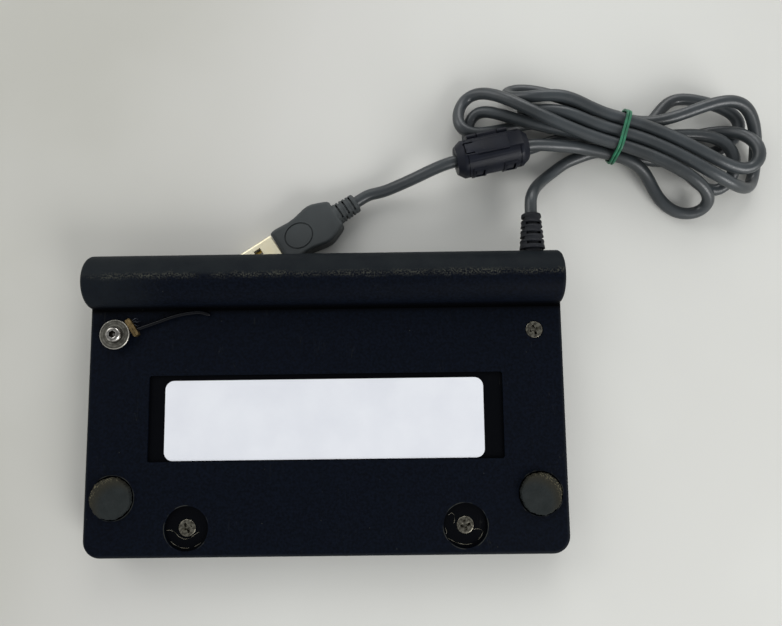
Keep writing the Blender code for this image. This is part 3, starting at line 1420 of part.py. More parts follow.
make_bottom_cover()
make_top_cover()
make_display()
make_electronics()
make_feet()
make_label()
make_case_screws()
make_tether()
make_cable()
make_clamp()
make_plug()
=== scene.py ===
"""Looks of a desktop signature pad that lies on its face, its cable tied in a hank behind it.

Metres, +Z up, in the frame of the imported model.
"""

import logging
import math
from collections.abc import Callable, Iterable, Sequence
from dataclasses import dataclass
from enum import Enum

import bmesh
import bpy
from mathutils import Matrix, Vector


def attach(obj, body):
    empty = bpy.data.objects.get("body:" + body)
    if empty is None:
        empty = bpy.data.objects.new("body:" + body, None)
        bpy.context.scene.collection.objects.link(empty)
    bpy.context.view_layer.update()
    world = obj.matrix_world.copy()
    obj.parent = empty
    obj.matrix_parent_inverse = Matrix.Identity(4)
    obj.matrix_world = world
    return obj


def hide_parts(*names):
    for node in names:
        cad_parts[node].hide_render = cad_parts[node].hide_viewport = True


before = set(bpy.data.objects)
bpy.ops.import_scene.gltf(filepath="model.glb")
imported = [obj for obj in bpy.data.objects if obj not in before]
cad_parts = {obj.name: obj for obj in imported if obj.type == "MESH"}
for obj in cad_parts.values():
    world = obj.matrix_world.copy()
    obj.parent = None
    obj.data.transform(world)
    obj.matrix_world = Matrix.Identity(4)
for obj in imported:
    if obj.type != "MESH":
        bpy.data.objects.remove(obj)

LOG = logging.getLogger("signature_pad")

MM = 0.001
PICTURE = (782, 626)
SMOOTH = {"interpolation_type": "SMOOTHSTEP"}

Material = bpy.types.Material
Object = bpy.types.Object
Socket = bpy.types.NodeSocket
Tree = bpy.types.NodeTree
Place = tuple[float, float, float]
Spot = tuple[float, float]


class Body(str, Enum):
    """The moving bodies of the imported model."""

    PAD = "pad"
    CLAMP_LID = "clamp_lid"


def linear(colour: str) -> tuple[float, float, float, float]:
    """Turn an sRGB hex colour into linear values.

    Args:
        colour: Colour such as "#20252b".

    Returns:
        Linear red, green, blue and an alpha of one.
    """
    parts = [int(colour[i : i + 2], 16) / 255 for i in (1, 3, 5)]
    spread = [c / 12.92 if c <= 0.04045 else ((c + 0.055) / 1.055) ** 2.4 for c in parts]
    return (*spread, 1.0)


def join(tree: Tree, made: bpy.types.Node, inputs: dict[str, object] | Sequence[object]) -> None:
    """Set or link the inputs of a shader node.

    Args:
        tree: Node tree that holds the node.
        made: The node.
        inputs: Value or output socket for each input, by name or in order.
    """
    for key, value in inputs.items() if isinstance(inputs, dict) else enumerate(inputs):
        if isinstance(value, Socket):
            tree.links.new(value, made.inputs[key])
        else:
            made.inputs[key].default_value = value


def node(
    tree: Tree,
    kind: str,
    inputs: dict[str, object] | Sequence[object] = (),
    out: int | str = 0,
    stops: Sequence[tuple[float, str]] = (),
    **settings: object,
) -> Socket:
    """Add a shader node with its settings and links.

    Args:
        tree: Node tree that takes the node.
        kind: Blender's name of the node's type, without its leading "ShaderNode".
        inputs: Value or output socket for each input, by name or in order.
        out: Number or name of the output that is wanted.
        stops: Place and sRGB hex colour of each stop, where the node is a colour ramp.
        **settings: Attributes of the node.

    Returns:
        The output socket.
    """
    made = tree.nodes.new(f"ShaderNode{kind}")
    for name, value in settings.items():
        setattr(made, name, value)
    join(tree, made, inputs)
    if stops:
        elements = made.color_ramp.elements
        while len(elements) < len(stops):
            elements.new(0.5)
        for element, (place, colour) in zip(elements, stops):
            element.position = place
            element.color = linear(colour)
    return made.outputs[out]


def layered(tree: Tree, colour: Socket, coats: Sequence[tuple[str, Sequence[Socket]]]) -> Socket:
    """Lay coats over a colour, each as far as the product of its shares.

    Args:
        tree: Node tree that takes the nodes.
        colour: The colour below.
        coats: Hex colour and shares of each coat, the lowest coat first.

    Returns:
        The colour with its coats.
    """
    for coat, shares in coats:
        factor = shares[0]
        for share in shares[1:]:
            factor = node(tree, "Math", (factor, share), operation="MULTIPLY")
        mixed = {"Factor": factor, "A": colour, "B": linear(coat)}
        colour = node(tree, "Mix", mixed, 2, data_type="RGBA")
    return colour


def new_material(name: str) -> tuple[Material, Tree, Socket]:
    """Start a material.

    Args:
        name: What the material is.

    Returns:
        The material, its tree and the Object coordinates.
    """
    made = bpy.data.materials.new(name)
    made.use_nodes = True
    return made, made.node_tree, node(made.node_tree, "TexCoord", out="Object")


@dataclass(frozen=True)
class Plastic:
    """Moulded or extruded plastic, rubber or paper.

    A slow change of tone keeps large faces alive, the grain breaks up the highlights, and
    specks of dust and lint show as paler points. The grain of the real surface is finer than a
    pixel, so it is drawn as coarse as it needs to be to show.
    """

    name: str
    colour: str
    shade: str
    dust: str = "#55564f"
    roughness: float = 0.5
    specular: float = 0.5
    grain_mm: float = 0.35
    deep_mm: float = 0.02
    tone_mm: float = 14.0
    dust_share: float = 0.0
    speck_mm: float = 0.5
    patch_mm: float = 5.0

    def build(self) -> Material:
        """Build its nodes.

        Returns:
            The material.
        """
        made, tree, place = new_material(self.name)
        sizes = {"tone": (self.tone_mm, 4), "grain": (self.grain_mm, 2)}
        if self.dust_share:
            sizes |= {"speck": (self.speck_mm, 5), "patch": (self.patch_mm, 2)}
        noise = {
            name: node(tree, "TexNoise", {"Vector": place, "Scale": 1 / (size * MM), "Detail": detail})
            for name, (size, detail) in sizes.items()
        }
        colour = node(tree, "ValToRGB", (noise["tone"],), stops=((0.35, self.shade), (0.65, self.colour)))
        low, high = self.roughness - 0.06, self.roughness + 0.08
        ranges = {"rough": (noise["grain"], 0.3, 0.7, low, high)}
        if self.dust_share:
            ranges["specks"] = (noise["speck"], 0.60, 0.68, 0, 1)
            ranges["patches"] = (noise["patch"], 0.45, 0.65, 0, self.dust_share)
        share = {name: node(tree, "MapRange", values, **SMOOTH) for name, values in ranges.items()}
        if self.dust_share:
            colour = layered(tree, colour, [(self.dust, [share["specks"], share["patches"]])])
        bump = {"Height": noise["grain"], "Strength": 0.5, "Distance": self.deep_mm * MM}
        inputs = {"Base Color": colour, "Roughness": share["rough"], "Normal": node(tree, "Bump", bump)}
        inputs |= {"IOR": 1.5, "Specular IOR Level": self.specular}
        join(tree, tree.nodes["Principled BSDF"], inputs)
        return made


@dataclass(frozen=True)
class Metal:
    """Bare or plated metal, with fine scratches and a stain where grime stays."""

    name: str
    colour: str
    stain: str
    roughness: float = 0.3
    scratch_mm: float = 0.3
    stain_mm: float = 2.0
    stained: Spot = (0.35, 0.65)
    deep_mm: float = 0.008

    def coats(self, tree: Tree, place: Socket) -> list[tuple[str, list[Socket]]]:
        """Return what lies over the metal: nothing."""
        return []

    def build(self) -> Material:
        """Build its nodes.

        Returns:
            The material.
        """
        made, tree, place = new_material(self.name)
        sizes = {"cloud": (self.stain_mm, 4), "fine": (self.scratch_mm, 4)}
        noise = {
            name: node(tree, "TexNoise", {"Vector": place, "Scale": 1 / (size * MM), "Detail": detail})
            for name, (size, detail) in sizes.items()
        }
        stops = ((self.stained[0], self.stain), (self.stained[1], self.colour))
        colour = node(tree, "ValToRGB", (noise["cloud"],), stops=stops)
        low, high = self.roughness - 0.08, self.roughness + 0.12
        rough = node(tree, "MapRange", (noise["fine"], 0.3, 0.7, low, high), **SMOOTH)
        bump = {"Height": noise["fine"], "Strength": 0.5, "Distance": self.deep_mm * MM}
        inputs = {"Base Color": layered(tree, colour, self.coats(tree, place)), "Metallic": 1.0}
        inputs |= {"Roughness": rough, "Normal": node(tree, "Bump", bump)}
        join(tree, tree.nodes["Principled BSDF"], inputs)
        return made


@dataclass(frozen=True)
class FacedMetal(Metal):
    """Metal faced on a lathe: dull rings, a rim of wear and painted highlight, dirt and painted shade deep in
    its socket.

    The rings are drawn coarser than the real tool marks, which are finer than a pixel.
    """

    centre: Spot = (0.0, 0.0)
    ring_mm: float = 0.8
    rim: float = 0.1
    # pale line at the rim: wear and a painted highlight of the rounded edge
    rim_wear_and_highlight: str = "#b4b1a8"
    # dark deep in the socket: dirt and painted shade
    grime_and_shade: str = "#221e1a"
    socket: Spot = (0.0, 0.0)

    def coats(self, tree: Tree, place: Socket) -> list[tuple[str, list[Socket]]]:
        """Return the dull rings, the rim's wear and painted highlight, and the socket's dirt and painted
        shade.

        Args:
            tree: Node tree that takes the nodes.
            place: Object coordinates.

        Returns:
            Colour and shares of each.
        """
        flat = node(tree, "Mapping", {"Vector": place, "Scale": (1, 1, 0)})
        reach = node(tree, "VectorMath", (flat, (*self.centre, 0)), "Value", operation="DISTANCE")
        turns = node(tree, "Math", (reach, math.tau / (self.ring_mm * MM)), operation="MULTIPLY")
        wave = node(tree, "Math", (turns,), operation="SINE")
        height = node(tree, "SeparateXYZ", (place,), "Z")
        radius, top = self.socket
        ranges = {
            "rings": (wave, -0.2, 0.8, 0, 0.7),
            # the rim, where wear and a highlight are painted
            "rim": (reach, self.rim - 0.00008, self.rim + 0.00004, 0, 1),
            "inside": (reach, radius + 0.0001, radius, 0, 1),
            "off_middle": (reach, 0.0002, 0.0005, 0, 1),
            "deep": (height, top - 0.00005, top - 0.00025, 0, 1),
        }
        share = {name: node(tree, "MapRange", values, **SMOOTH) for name, values in ranges.items()}
        # deep in the socket, where dirt and shade are painted
        grime_and_shade_shares = [share[name] for name in ("inside", "off_middle", "deep")]
        return [(self.stain, [share["rings"]]), (self.rim_wear_and_highlight, [share["rim"]]), (self.grime_and_shade, grime_and_shade_shares)]


@dataclass(frozen=True)
class WornShell:
    """Moulded black housing plastic with the wear of a pad that has stood on its roll.

    Navy black with a fine moulded grain. The rear of the roll is paler charcoal, a painted sheen
    of grazing light mixed with dust, and its crown has a broken line of pale scuffs where it
    stands. The recess floors and the groove before the roll are painted near black as painted
    shade, the rims of the foot recesses are pale with wear and a painted highlight, the outer edges
    take the rear's charcoal as a painted highlight of their rounding mixed with dust, the roll's
    left end has dust like its rear, and a few dust specks and hairline scratches lie on the flat.
    """

    name: str = "moulded_black_abs_worn"
    colour: str = "#0a0f19"
    shade: str = "#060910"
    # near black, painted as shade in the recesses and in the groove before the roll
    floor: str = "#030407"
    # paler charcoal: a painted sheen of grazing light on the roll's rear and a painted highlight on the
    # rounded outer edges, both mixed with dust; dust alone on the roll's left end
    rear: str = "#1c2023"
    # pale scuffs on the crown, dust specks and scratches, and on the recess rims wear with a painted
    # highlight
    scuff: str = "#3e3f39"
    roughness: float = 0.50
    specular: float = 0.04
    crown_y: float = 0.0399
    half_band: float = 0.0016
    flat_z: float = 0.0122
    groove_y: float = 0.0304
    edges: Spot = (0.0762, -0.0478)
    rims: tuple[Spot, ...] = ((0.0436, -0.0388), (0.0673, -0.0293))
    rim_radius: float = 0.00705
    wander: float = 0.0022
    speck_mm: float = 3.5
    scratch_mm: float = 1.6
    scratch_turn: float = 0.5
    scratch_squeeze: float = 0.06

    def distances(self, tree: Tree, place: Socket, edge: Socket, y: Socket) -> dict[str, Socket]:
        """How far a point lies from each line of wear.

        Args:
            tree: Node tree that takes the nodes.
            place: Object coordinates.
            edge: Depthwise place, wandering a little.
            y: Depthwise place.

        Returns:
            The distances, by the name of the line.
        """
        mirrored = node(tree, "VectorMath", (place,), operation="ABSOLUTE")
        flat = node(tree, "Mapping", {"Vector": mirrored, "Scale": (1, 1, 0)})
        stretch = {"Rotation": (0, 0, self.scratch_turn), "Scale": (1, self.scratch_squeeze, 1)}
        turned = node(tree, "Mapping", {"Vector": place, **stretch})
        inputs = {"Vector": turned, "Scale": 1 / (self.scratch_mm * MM), "Detail": 1}
        lines = node(tree, "TexNoise", inputs)
        pairs = {"crown": (edge, self.crown_y + 0.0011), "groove": (y, self.groove_y), "hair": (lines, 0.5)}
        for i, (rim_x, rim_y) in enumerate(self.rims):
            reach = node(tree, "VectorMath", (flat, (rim_x, abs(rim_y), 0)), "Value", operation="DISTANCE")
            pairs[f"rim_{i}"] = (reach, self.rim_radius)
        found = {}
        for name, pair in pairs.items():
            ahead = node(tree, "Math", pair, operation="SUBTRACT")
            found[name] = node(tree, "Math", (ahead,), operation="ABSOLUTE")
        found["rim"] = node(tree, "Math", (found["rim_0"], found["rim_1"]), operation="MINIMUM")
        return found

    def build(self) -> Material:
        """Build its nodes.

        Returns:
            The material.
        """
        made, tree, place = new_material(self.name)
        sizes = {"mottle": (0.8, 5), "wander": (5, 4), "dust": (7, 4), "grit": (0.55, 6), "patch": (8, 3)}
        sizes |= {"some": (4, 2), "where": (11, 2), "grain": (0.3, 3)}
        noise = {
            name: node(tree, "TexNoise", {"Vector": place, "Scale": 1 / (size * MM), "Detail": detail})
            for name, (size, detail) in sizes.items()
        }
        x, y, z = node(tree, "SeparateXYZ", (place,)).node.outputs
        wide = node(tree, "Math", (x,), operation="ABSOLUTE")
        wobble = node(tree, "Math", (noise["wander"], self.wander), operation="MULTIPLY")
        edge = node(tree, "Math", (y, wobble), operation="ADD")
        off = self.distances(tree, place, edge, y)
        cells = node(tree, "TexVoronoi", {"Vector": place, "Scale": 1 / (self.speck_mm * MM)})
        flat, crown, (side, front) = self.flat_z, self.crown_y, self.edges
        ranges = {
            "on_roll": (z, flat + 0.0005, flat + 0.0030, 0, 1),
            # the roll's rear behind the crown, where a sheen is painted
            "behind": (edge, crown + 0.0008, crown + 0.0024, 0, 1),
            "dust_and_sheen": (noise["dust"], 0.2, 0.7, 0.65, 1),
            "left_end": (x, -0.046, -0.070, 0, 0.6),
            # the rounded outer edges, where a highlight is painted
            "sides": (wide, side - 0.0013, side - 0.0002, 0, 0.7),
            "fore": (y, front + 0.0013, front + 0.0002, 0, 0.9),
            "band": (off["crown"], self.half_band, 0, 0, 1),
            "grit": (noise["grit"], 0.42, 0.66, 0, 1),
            "patches": (noise["patch"], 0.28, 0.60, 0, 1),
            # recess floors and the groove before the roll, where shade is painted
            "sunk": (z, flat - 0.0004, flat - 0.0008, 0, 1),
            "above_floor": (z, flat - 0.0013, flat - 0.0011, 0, 1),
            "groove": (off["groove"], 0.0024, 0.0006, 0, 1),
            "low": (z, flat + 0.0042, flat + 0.0016, 0, 1),
            # the recess rims, where wear and a highlight are painted
            "rim": (off["rim"], 0.00016, 0.00003, 0, 1),
            "rim_wear_and_highlight": (noise["wander"], 0.42, 0.62, 0, 0.7),
            "on_flat": (z, flat - 0.0005, flat - 0.0002, 0, 1),
            "front_half": (y, 0, -0.001, 0, 1),
            "specks": (cells, 0.05, 0.03, 0, 1),
            "some": (noise["some"], 0.50, 0.56, 0, 0.6),
            "hair": (off["hair"], 0.006, 0, 0, 1),
            "where": (noise["where"], 0.55, 0.66, 0, 0.16),
            "rough": (noise["grain"], 0.3, 0.7, self.roughness - 0.06, self.roughness + 0.10),
        }
        share = {name: node(tree, "MapRange", values, **SMOOTH) for name, values in ranges.items()}
        share["edges"] = node(tree, "Math", (share["sides"], share["fore"]), operation="MAXIMUM")
        scuffs = share["band"]
        for name in ("grit", "patches", "on_roll"):
            scuffs = node(tree, "Math", (scuffs, share[name]), operation="MULTIPLY")
        share["scuffs"] = scuffs
        coats = (
            # painted sheen of grazing light on the roll's rear, mixed with dust
            (self.rear, ("behind", "dust_and_sheen")),
            (self.rear, ("left_end", "on_roll", "dust_and_sheen")),
            # painted highlight along the rounded outer edges, mixed with dust
            (self.rear, ("edges", "dust_and_sheen")),
            (self.scuff, ("scuffs",)),
            # painted shade: near black in the recesses and in the groove before the roll
            (self.floor, ("sunk", "above_floor")),
            (self.floor, ("groove", "low")),
            # pale recess rims: wear with a painted highlight of the rim
            (self.scuff, ("rim", "rim_wear_and_highlight", "on_flat", "front_half")),
            (self.scuff, ("specks", "some")),
            (self.scuff, ("hair", "where")),
        )
        colour = node(tree, "ValToRGB", (noise["mottle"],), stops=((0.36, self.shade), (0.64, self.colour)))
        colour = layered(tree, colour, [(coat, [share[name] for name in names]) for coat, names in coats])
        height = node(tree, "Math", (noise["grain"], scuffs), operation="ADD")
        bump = node(tree, "Bump", {"Height": height, "Strength": 0.5, "Distance": 0.02 * MM})
        inputs = {"Base Color": colour, "Roughness": share["rough"], "Normal": bump, "IOR": 1.5}
        join(tree, tree.nodes["Principled BSDF"], inputs | {"Specular IOR Level": self.specular})
        return made


@dataclass(frozen=True)
class WornRubber:
    """Cut rubber sheet of a foot, worn brown and pitted towards its rim.

    The even grey face looks soft; the warm specks at the rim are where it has crumbled.
    """

    name: str
    centre: Spot
    radius: float
    lean: Spot
    colour: str = "#242828"
    shade: str = "#1e2222"
    wash: str = "#27261f"
    crumb: str = "#5f5a48"

    def build(self) -> Material:
        """Build its nodes.

        Returns:
            The material.
        """
        made, tree, place = new_material(self.name)
        sizes = {"cloud": (3, 5), "pit": (0.45, 4), "grain": (0.4, 4)}
        noise = {
            name: node(tree, "TexNoise", {"Vector": place, "Scale": 1 / (size * MM), "Detail": detail})
            for name, (size, detail) in sizes.items()
        }
        flat = node(tree, "Mapping", {"Vector": place, "Scale": (1, 1, 0)})
        middle = [at - lean * self.radius for at, lean in zip(self.centre, self.lean)]
        reach = node(tree, "VectorMath", (flat, (*middle, 0)), "Value", operation="DISTANCE")
        ranges = {
            "washed": (reach, self.radius * 0.7, self.radius * 1.25, 0, 1),
            "rim": (reach, self.radius * 1.10, self.radius * 1.38, 0, 1),
            "pits": (noise["pit"], 0.54, 0.62, 0, 1),
            "rough": (noise["grain"], 0.3, 0.7, 0.7, 0.9),
        }
        share = {name: node(tree, "MapRange", values, **SMOOTH) for name, values in ranges.items()}
        colour = node(tree, "ValToRGB", (noise["cloud"],), stops=((0.35, self.shade), (0.65, self.colour)))
        coats = [(self.wash, [share["washed"]]), (self.crumb, [share["rim"], share["pits"]])]
        bump = {"Height": noise["grain"], "Strength": 0.5, "Distance": 0.05 * MM}
        inputs = {"Base Color": layered(tree, colour, coats), "Roughness": share["rough"]}
        inputs |= {"Normal": node(tree, "Bump", bump), "Specular IOR Level": 0.15}
        join(tree, tree.nodes["Principled BSDF"], inputs)
        return made


@dataclass(frozen=True)
class Board:
    """Green solder mask over fine copper tracks, with rows of plated holes.

    The tracks show as slightly lighter lines under the glossy mask.
    """

    name: str
    colour: str = "#12452a"
    track: str = "#1d6a3e"
    hole: str = "#b9a872"
    track_mm: float = 4.0
    hole_mm: float = 2.5
    grain_mm: float = 0.5

    def build(self) -> Material:
        """Build its nodes.

        Returns:
            The material.
        """
        made, tree, place = new_material(self.name)
        inputs = {"Vector": place, "Scale": 1 / (self.track_mm * MM), "Mortar Size": 0.03}
        inputs |= {"Row Height": 0.2, "Brick Width": 1.3, "Mortar": linear(self.track)}
        inputs |= {"Color1": linear(self.colour), "Color2": linear(self.colour)}
        tracks = node(tree, "TexBrick", inputs)
        inputs = {"Vector": place, "Scale": 1 / (self.hole_mm * MM), "Randomness": 0.4}
        cells = node(tree, "TexVoronoi", inputs)
        holes = node(tree, "MapRange", (cells, 0.14, 0.10, 0, 1), **SMOOTH)
        grain = node(tree, "TexNoise", {"Vector": place, "Scale": 1 / (self.grain_mm * MM), "Detail": 2})
        bump = node(tree, "Bump", {"Height": grain, "Strength": 0.5, "Distance": 0.02 * MM})
        colour = layered(tree, tracks, [(self.hole, [holes])])
        inputs = {"Base Color": colour, "Roughness": 0.3, "Normal": bump}
        join(tree, tree.nodes["Principled BSDF"], inputs)
        return made


@dataclass(frozen=True)
class Clear:
    """Clear sheet or dried glue, with hairline scuffs that blur what lies behind it."""

    name: str
    colour: str = "#f4f6f5"
    roughness: float = 0.08
    ior: float = 1.49
    transmission: float = 1.0
    scuff_mm: float = 0.7

    def build(self) -> Material:
        """Build its nodes.

        Returns:
            The material.
        """
        made, tree, place = new_material(self.name)
        scuffs = node(tree, "TexNoise", {"Vector": place, "Scale": 1 / (self.scuff_mm * MM), "Detail": 5})
        rough = node(tree, "MapRange", (scuffs, 0.4, 0.75, self.roughness, self.roughness + 0.18), **SMOOTH)
        bump = node(tree, "Bump", {"Height": scuffs, "Strength": 0.3, "Distance": 0.01 * MM})
        inputs = {"Base Color": linear(self.colour), "Roughness": rough, "Normal": bump}
        inputs |= {"IOR": self.ior, "Transmission Weight": self.transmission}
        join(tree, tree.nodes["Principled BSDF"], inputs)
        return made


@dataclass(frozen=True)
class Ribbon:
    """Flat flexible cable: copper stripes that glow brown under glossy amber film."""

    name: str = "polyimide_ribbon_cable"
    film: str = "#b5702a"
    copper: str = "#8a4a18"
    stripe_mm: float = 1.0

    def build(self) -> Material:
        """Build its nodes.

        Returns:
            The material.
        """
        made, tree, place = new_material(self.name)
        inputs = {"Vector": place, "Scale": 0.5 / (self.stripe_mm * MM)}
        wave = node(tree, "TexWave", inputs, "Fac", bands_direction="X")
        colour = node(tree, "ValToRGB", (wave,), stops=((0.45, self.copper), (0.60, self.film)))
        bump = node(tree, "Bump", {"Height": wave, "Strength": 0.5, "Distance": 0.03 * MM})
        inputs = {"Base Color": colour, "Roughness": 0.3, "Normal": bump}
        join(tree, tree.nodes["Principled BSDF"], inputs)
        return made


class Bench:
    """Blender's modelling tools, used as by hand, one piece at a time."""

    @staticmethod
    def clear() -> None:
        """Leave edit mode and deselect everything."""
        if bpy.context.object and bpy.context.object.mode != "OBJECT":
            bpy.ops.object.mode_set(mode="OBJECT")
        bpy.ops.object.select_all(action="DESELECT")

    @staticmethod
    def take(piece: Object) -> None:
        """Select one piece and make it the active one.

        Args:
            piece: The piece.
        """
        Bench.clear()
        piece.select_set(True)
        bpy.context.view_layer.objects.active = piece

    @staticmethod
    def lay(piece: Object, matrix: Matrix | None = None) -> Object:
        """Move a piece by a matrix, if one is given, and write its place into its mesh.

        Args:
            piece: The piece.
            matrix: Where it is laid.

        Returns:
            The piece.
        """
        if matrix is not None:
            piece.matrix_world = matrix
        Bench.take(piece)
        bpy.ops.object.transform_apply(location=True, rotation=True, scale=True)
        return piece

    @staticmethod
    def box(name: str, low: Sequence[float], high: Sequence[float]) -> Object:
        """Add a box between two opposite corners.

        Args:
            name: Name of the piece.
            low: Corner with the least coordinates.
            high: Corner with the greatest coordinates.

        Returns:
            The box.
        """
        Bench.clear()
        low, high = Vector(low), Vector(high)
        bpy.ops.mesh.primitive_cube_add(size=1, location=(low + high) / 2)
        piece = bpy.context.object
        piece.name = piece.data.name = name
        piece.scale = high - low
        return Bench.lay(piece)

    @staticmethod
    def rod(
        name: str,
        radius: float,
        start: Sequence[float],
        end: Sequence[float],
        sides: int = 64,
        end_radius: float | None = None,
    ) -> Object:
        """Add a cylinder or cone between two points.

        Args:
            name: Name of the piece.
            radius: Radius at the start.
            start: Middle of the first end.
            end: Middle of the second end.
            sides: Number of sides.
            end_radius: Radius at the end, where it differs.

        Returns:
            The rod.
        """
        Bench.clear()
        start, end = Vector(start), Vector(end)
        span = end - start
        bpy.ops.mesh.primitive_cone_add(
            vertices=sides,
            radius1=radius,
            radius2=radius if end_radius is None else end_radius,
            depth=span.length,
            location=(start + end) / 2,
            rotation=span.to_track_quat("Z", "Y").to_euler(),
        )
        piece = bpy.context.object
        piece.name = piece.data.name = name
        return Bench.lay(piece)

    @staticmethod
    def thread(name: str, points: Sequence[Sequence[float]]) -> Object:
        """Draw a chain of edges by extruding one vertex, and stay in edit mode.

        Args:
            name: Name of the piece.
            points: Places that the chain goes through.

        Returns:
            The piece, all selected.
        """
        Bench.clear()
        bpy.ops.mesh.primitive_plane_add(size=1, location=(0, 0, 0))
        piece = bpy.context.object
        piece.name = piece.data.name = name
        bpy.ops.object.mode_set(mode="EDIT")
        bpy.ops.mesh.select_mode(type="VERT")
        bpy.ops.mesh.select_all(action="SELECT")
        bpy.ops.mesh.merge(type="CENTER")
        places = [Vector(point) for point in points]
        bpy.ops.transform.translate(value=places[0])
        for before, after in zip(places, places[1:]):
            bpy.ops.mesh.extrude_region_move(TRANSFORM_OT_translate={"value": after - before})
        bpy.ops.mesh.select_all(action="SELECT")
        return piece

    @staticmethod
    def turned(name: str, profile: Sequence[Spot], matrix: Matrix = Matrix(), steps: int = 64) -> Object:
        """Spin a profile into a closed solid of revolution.

        Args:
            name: Name of the piece.
            profile: Points of (along, radius); one that starts on the axis also ends there.
            matrix: Where the axis, local Z, is laid.
            steps: Steps round the axis.

        Returns:
            The solid.
        """
        points = [(radius, 0, along) for along, radius in profile]
        if profile[0][1]:
            points.append(points[0])
        piece = Bench.thread(name, points)
        bpy.ops.mesh.spin(steps=steps, angle=math.tau, center=(0, 0, 0), axis=(0, 0, 1))
        bpy.ops.mesh.select_all(action="SELECT")
        bpy.ops.mesh.remove_doubles(threshold=0.003 * MM)
        bpy.ops.mesh.normals_make_consistent(inside=False)
        bpy.ops.object.mode_set(mode="OBJECT")
        return Bench.lay(piece, matrix)

    @staticmethod
    def plate(
        name: str, outline: Sequence[Spot], bottom: float, top: float, matrix: Matrix = Matrix()
    ) -> Object:
        """Fill an outline and extrude it into a plate.

        Args:
            name: Name of the piece.
            outline: Points of (x, y), in order.
            bottom: Lower height.
            top: Upper height.
            matrix: Where the plate is laid.

        Returns:
            The plate.
        """
        piece = Bench.thread(name, [(x, y, bottom) for x, y in outline])
        bpy.ops.mesh.edge_face_add()
        bpy.ops.mesh.extrude_region_move(TRANSFORM_OT_translate={"value": (0, 0, top - bottom)})
        bpy.ops.mesh.select_all(action="SELECT")
        bpy.ops.mesh.normals_make_consistent(inside=False)
        bpy.ops.object.mode_set(mode="OBJECT")
        return Bench.lay(piece, matrix)

    @staticmethod
    def round_edges(
        piece: Object, width: float, segments: int, test: Callable[[Vector, Vector], bool]
    ) -> None:
        """Bevel the edges of a piece whose two ends pass a test.

        Args:
            piece: The solid.
            width: Width of the bevel.
            segments: Steps across it.
            test: Takes the two ends of an edge.
        """
        Bench.take(piece)
        bpy.ops.object.mode_set(mode="EDIT")
        bpy.ops.mesh.select_mode(type="EDGE")
        bpy.ops.mesh.select_all(action="DESELECT")
        form = bmesh.from_edit_mesh(piece.data)
        found = [edge for edge in form.edges if test(edge.verts[0].co, edge.verts[1].co)]
        for edge in found:
            edge.select_set(True)
        bmesh.update_edit_mesh(piece.data)
        if found:
            bpy.ops.mesh.bevel(offset=width, segments=segments, profile=0.5, affect="EDGES")
        bpy.ops.object.mode_set(mode="OBJECT")

    @staticmethod
    def modify(piece: Object, kind: str, **settings: object) -> None:
        """Apply a modifier to a piece.

        Args:
            piece: The piece.
            kind: Blender's name of the modifier's type.
            **settings: Attributes of the modifier.
        """
        Bench.take(piece)
        change = piece.modifiers.new(kind.lower(), kind)
        for name, value in settings.items():
            setattr(change, name, value)
        bpy.ops.object.modifier_apply(modifier=change.name)

    @staticmethod
    def combine(piece: Object, operation: str, tools: Iterable[Object]) -> None:
        """Join or cut a piece with other solids, which are used up.

        Args:
            piece: The solid that is changed.
            operation: UNION, DIFFERENCE or INTERSECT.
            tools: The other solids.
        """
        for tool in tools:
            Bench.modify(piece, "BOOLEAN", operation=operation, solver="EXACT", object=tool)
            bpy.data.objects.remove(tool)

    @staticmethod
    def soften(piece: Object, width: float, segments: int = 2, angle: float = 35.0) -> None:
        """Round the sharp edges of a finished solid and shade it smooth.

        Args:
            piece: The solid.
            width: Width of the rounding.
            segments: Steps across the rounding.
            angle: Edges sharper than this many degrees are rounded.
        """
        Bench.modify(piece, "WELD", merge_threshold=0.002 * MM)
        limits = {"limit_method": "ANGLE", "angle_limit": math.radians(angle), "use_clamp_overlap": True}
        Bench.modify(piece, "BEVEL", width=width, segments=segments, **limits)
        Bench.shade(piece, angle)

    @staticmethod
    def shade(piece: Object, angle: float) -> None:
        """Shade a piece smooth below an angle, its large faces staying flat.

        Args:
            piece: The piece.
            angle: Steepest smooth angle, in degrees.
        """
        Bench.take(piece)
        bpy.ops.object.shade_smooth_by_angle(angle=math.radians(angle))
        Bench.modify(piece, "WEIGHTED_NORMAL", keep_sharp=True)

    @staticmethod
    def lines(
        name: str, routes: Sequence[Sequence[Vector]], radius: float, resolution: int, closed: bool = False
    ) -> Object:
        """Draw round lines as one curve.

        Args:
            name: Name of the piece.
            routes: Points of each line.
            radius: Half the thickness.
            resolution: Smoothness of the round section.
            closed: Whether each line runs back to its start.

        Returns:
            The curve.
        """
        line = bpy.data.curves.new(name, "CURVE")
        line.dimensions = "3D"
        line.bevel_depth = radius
        line.bevel_resolution = resolution
        line.use_fill_caps = not closed
        for route in routes:
            spline = line.splines.new("POLY")
            spline.points.add(len(route) - 1)
            for point, place in zip(spline.points, route):
                point.co = (*place, 1)
            spline.use_cyclic_u = closed
        drawn = bpy.data.objects.new(name, line)
        bpy.context.scene.collection.objects.link(drawn)
        return drawn

    @staticmethod
    def as_mesh(drawn: Object) -> Object:
        """Turn a drawn curve into a mesh.

        Args:
            drawn: The curve.

        Returns:
            The mesh.
        """
        Bench.take(drawn)
        bpy.ops.object.convert(target="MESH")
        return bpy.context.object


def own(
    piece: Object, finish: Material, nodes: Sequence[str] = (), body: Body = Body.PAD
) -> Object:
    """Finish a piece: its material, its body and the solids that it stands for.

    Args:
        piece: The finished solid.
        finish: Its material.
        nodes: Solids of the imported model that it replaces.
        body: Body that it moves with.

    Returns:
        The piece.
    """
    piece.data.materials.clear()
    piece.data.materials.append(finish)
    if nodes:
        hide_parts(*nodes)
    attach(piece, body.value)
    LOG.info("%s on %s", piece.name, body.value)
    return piece


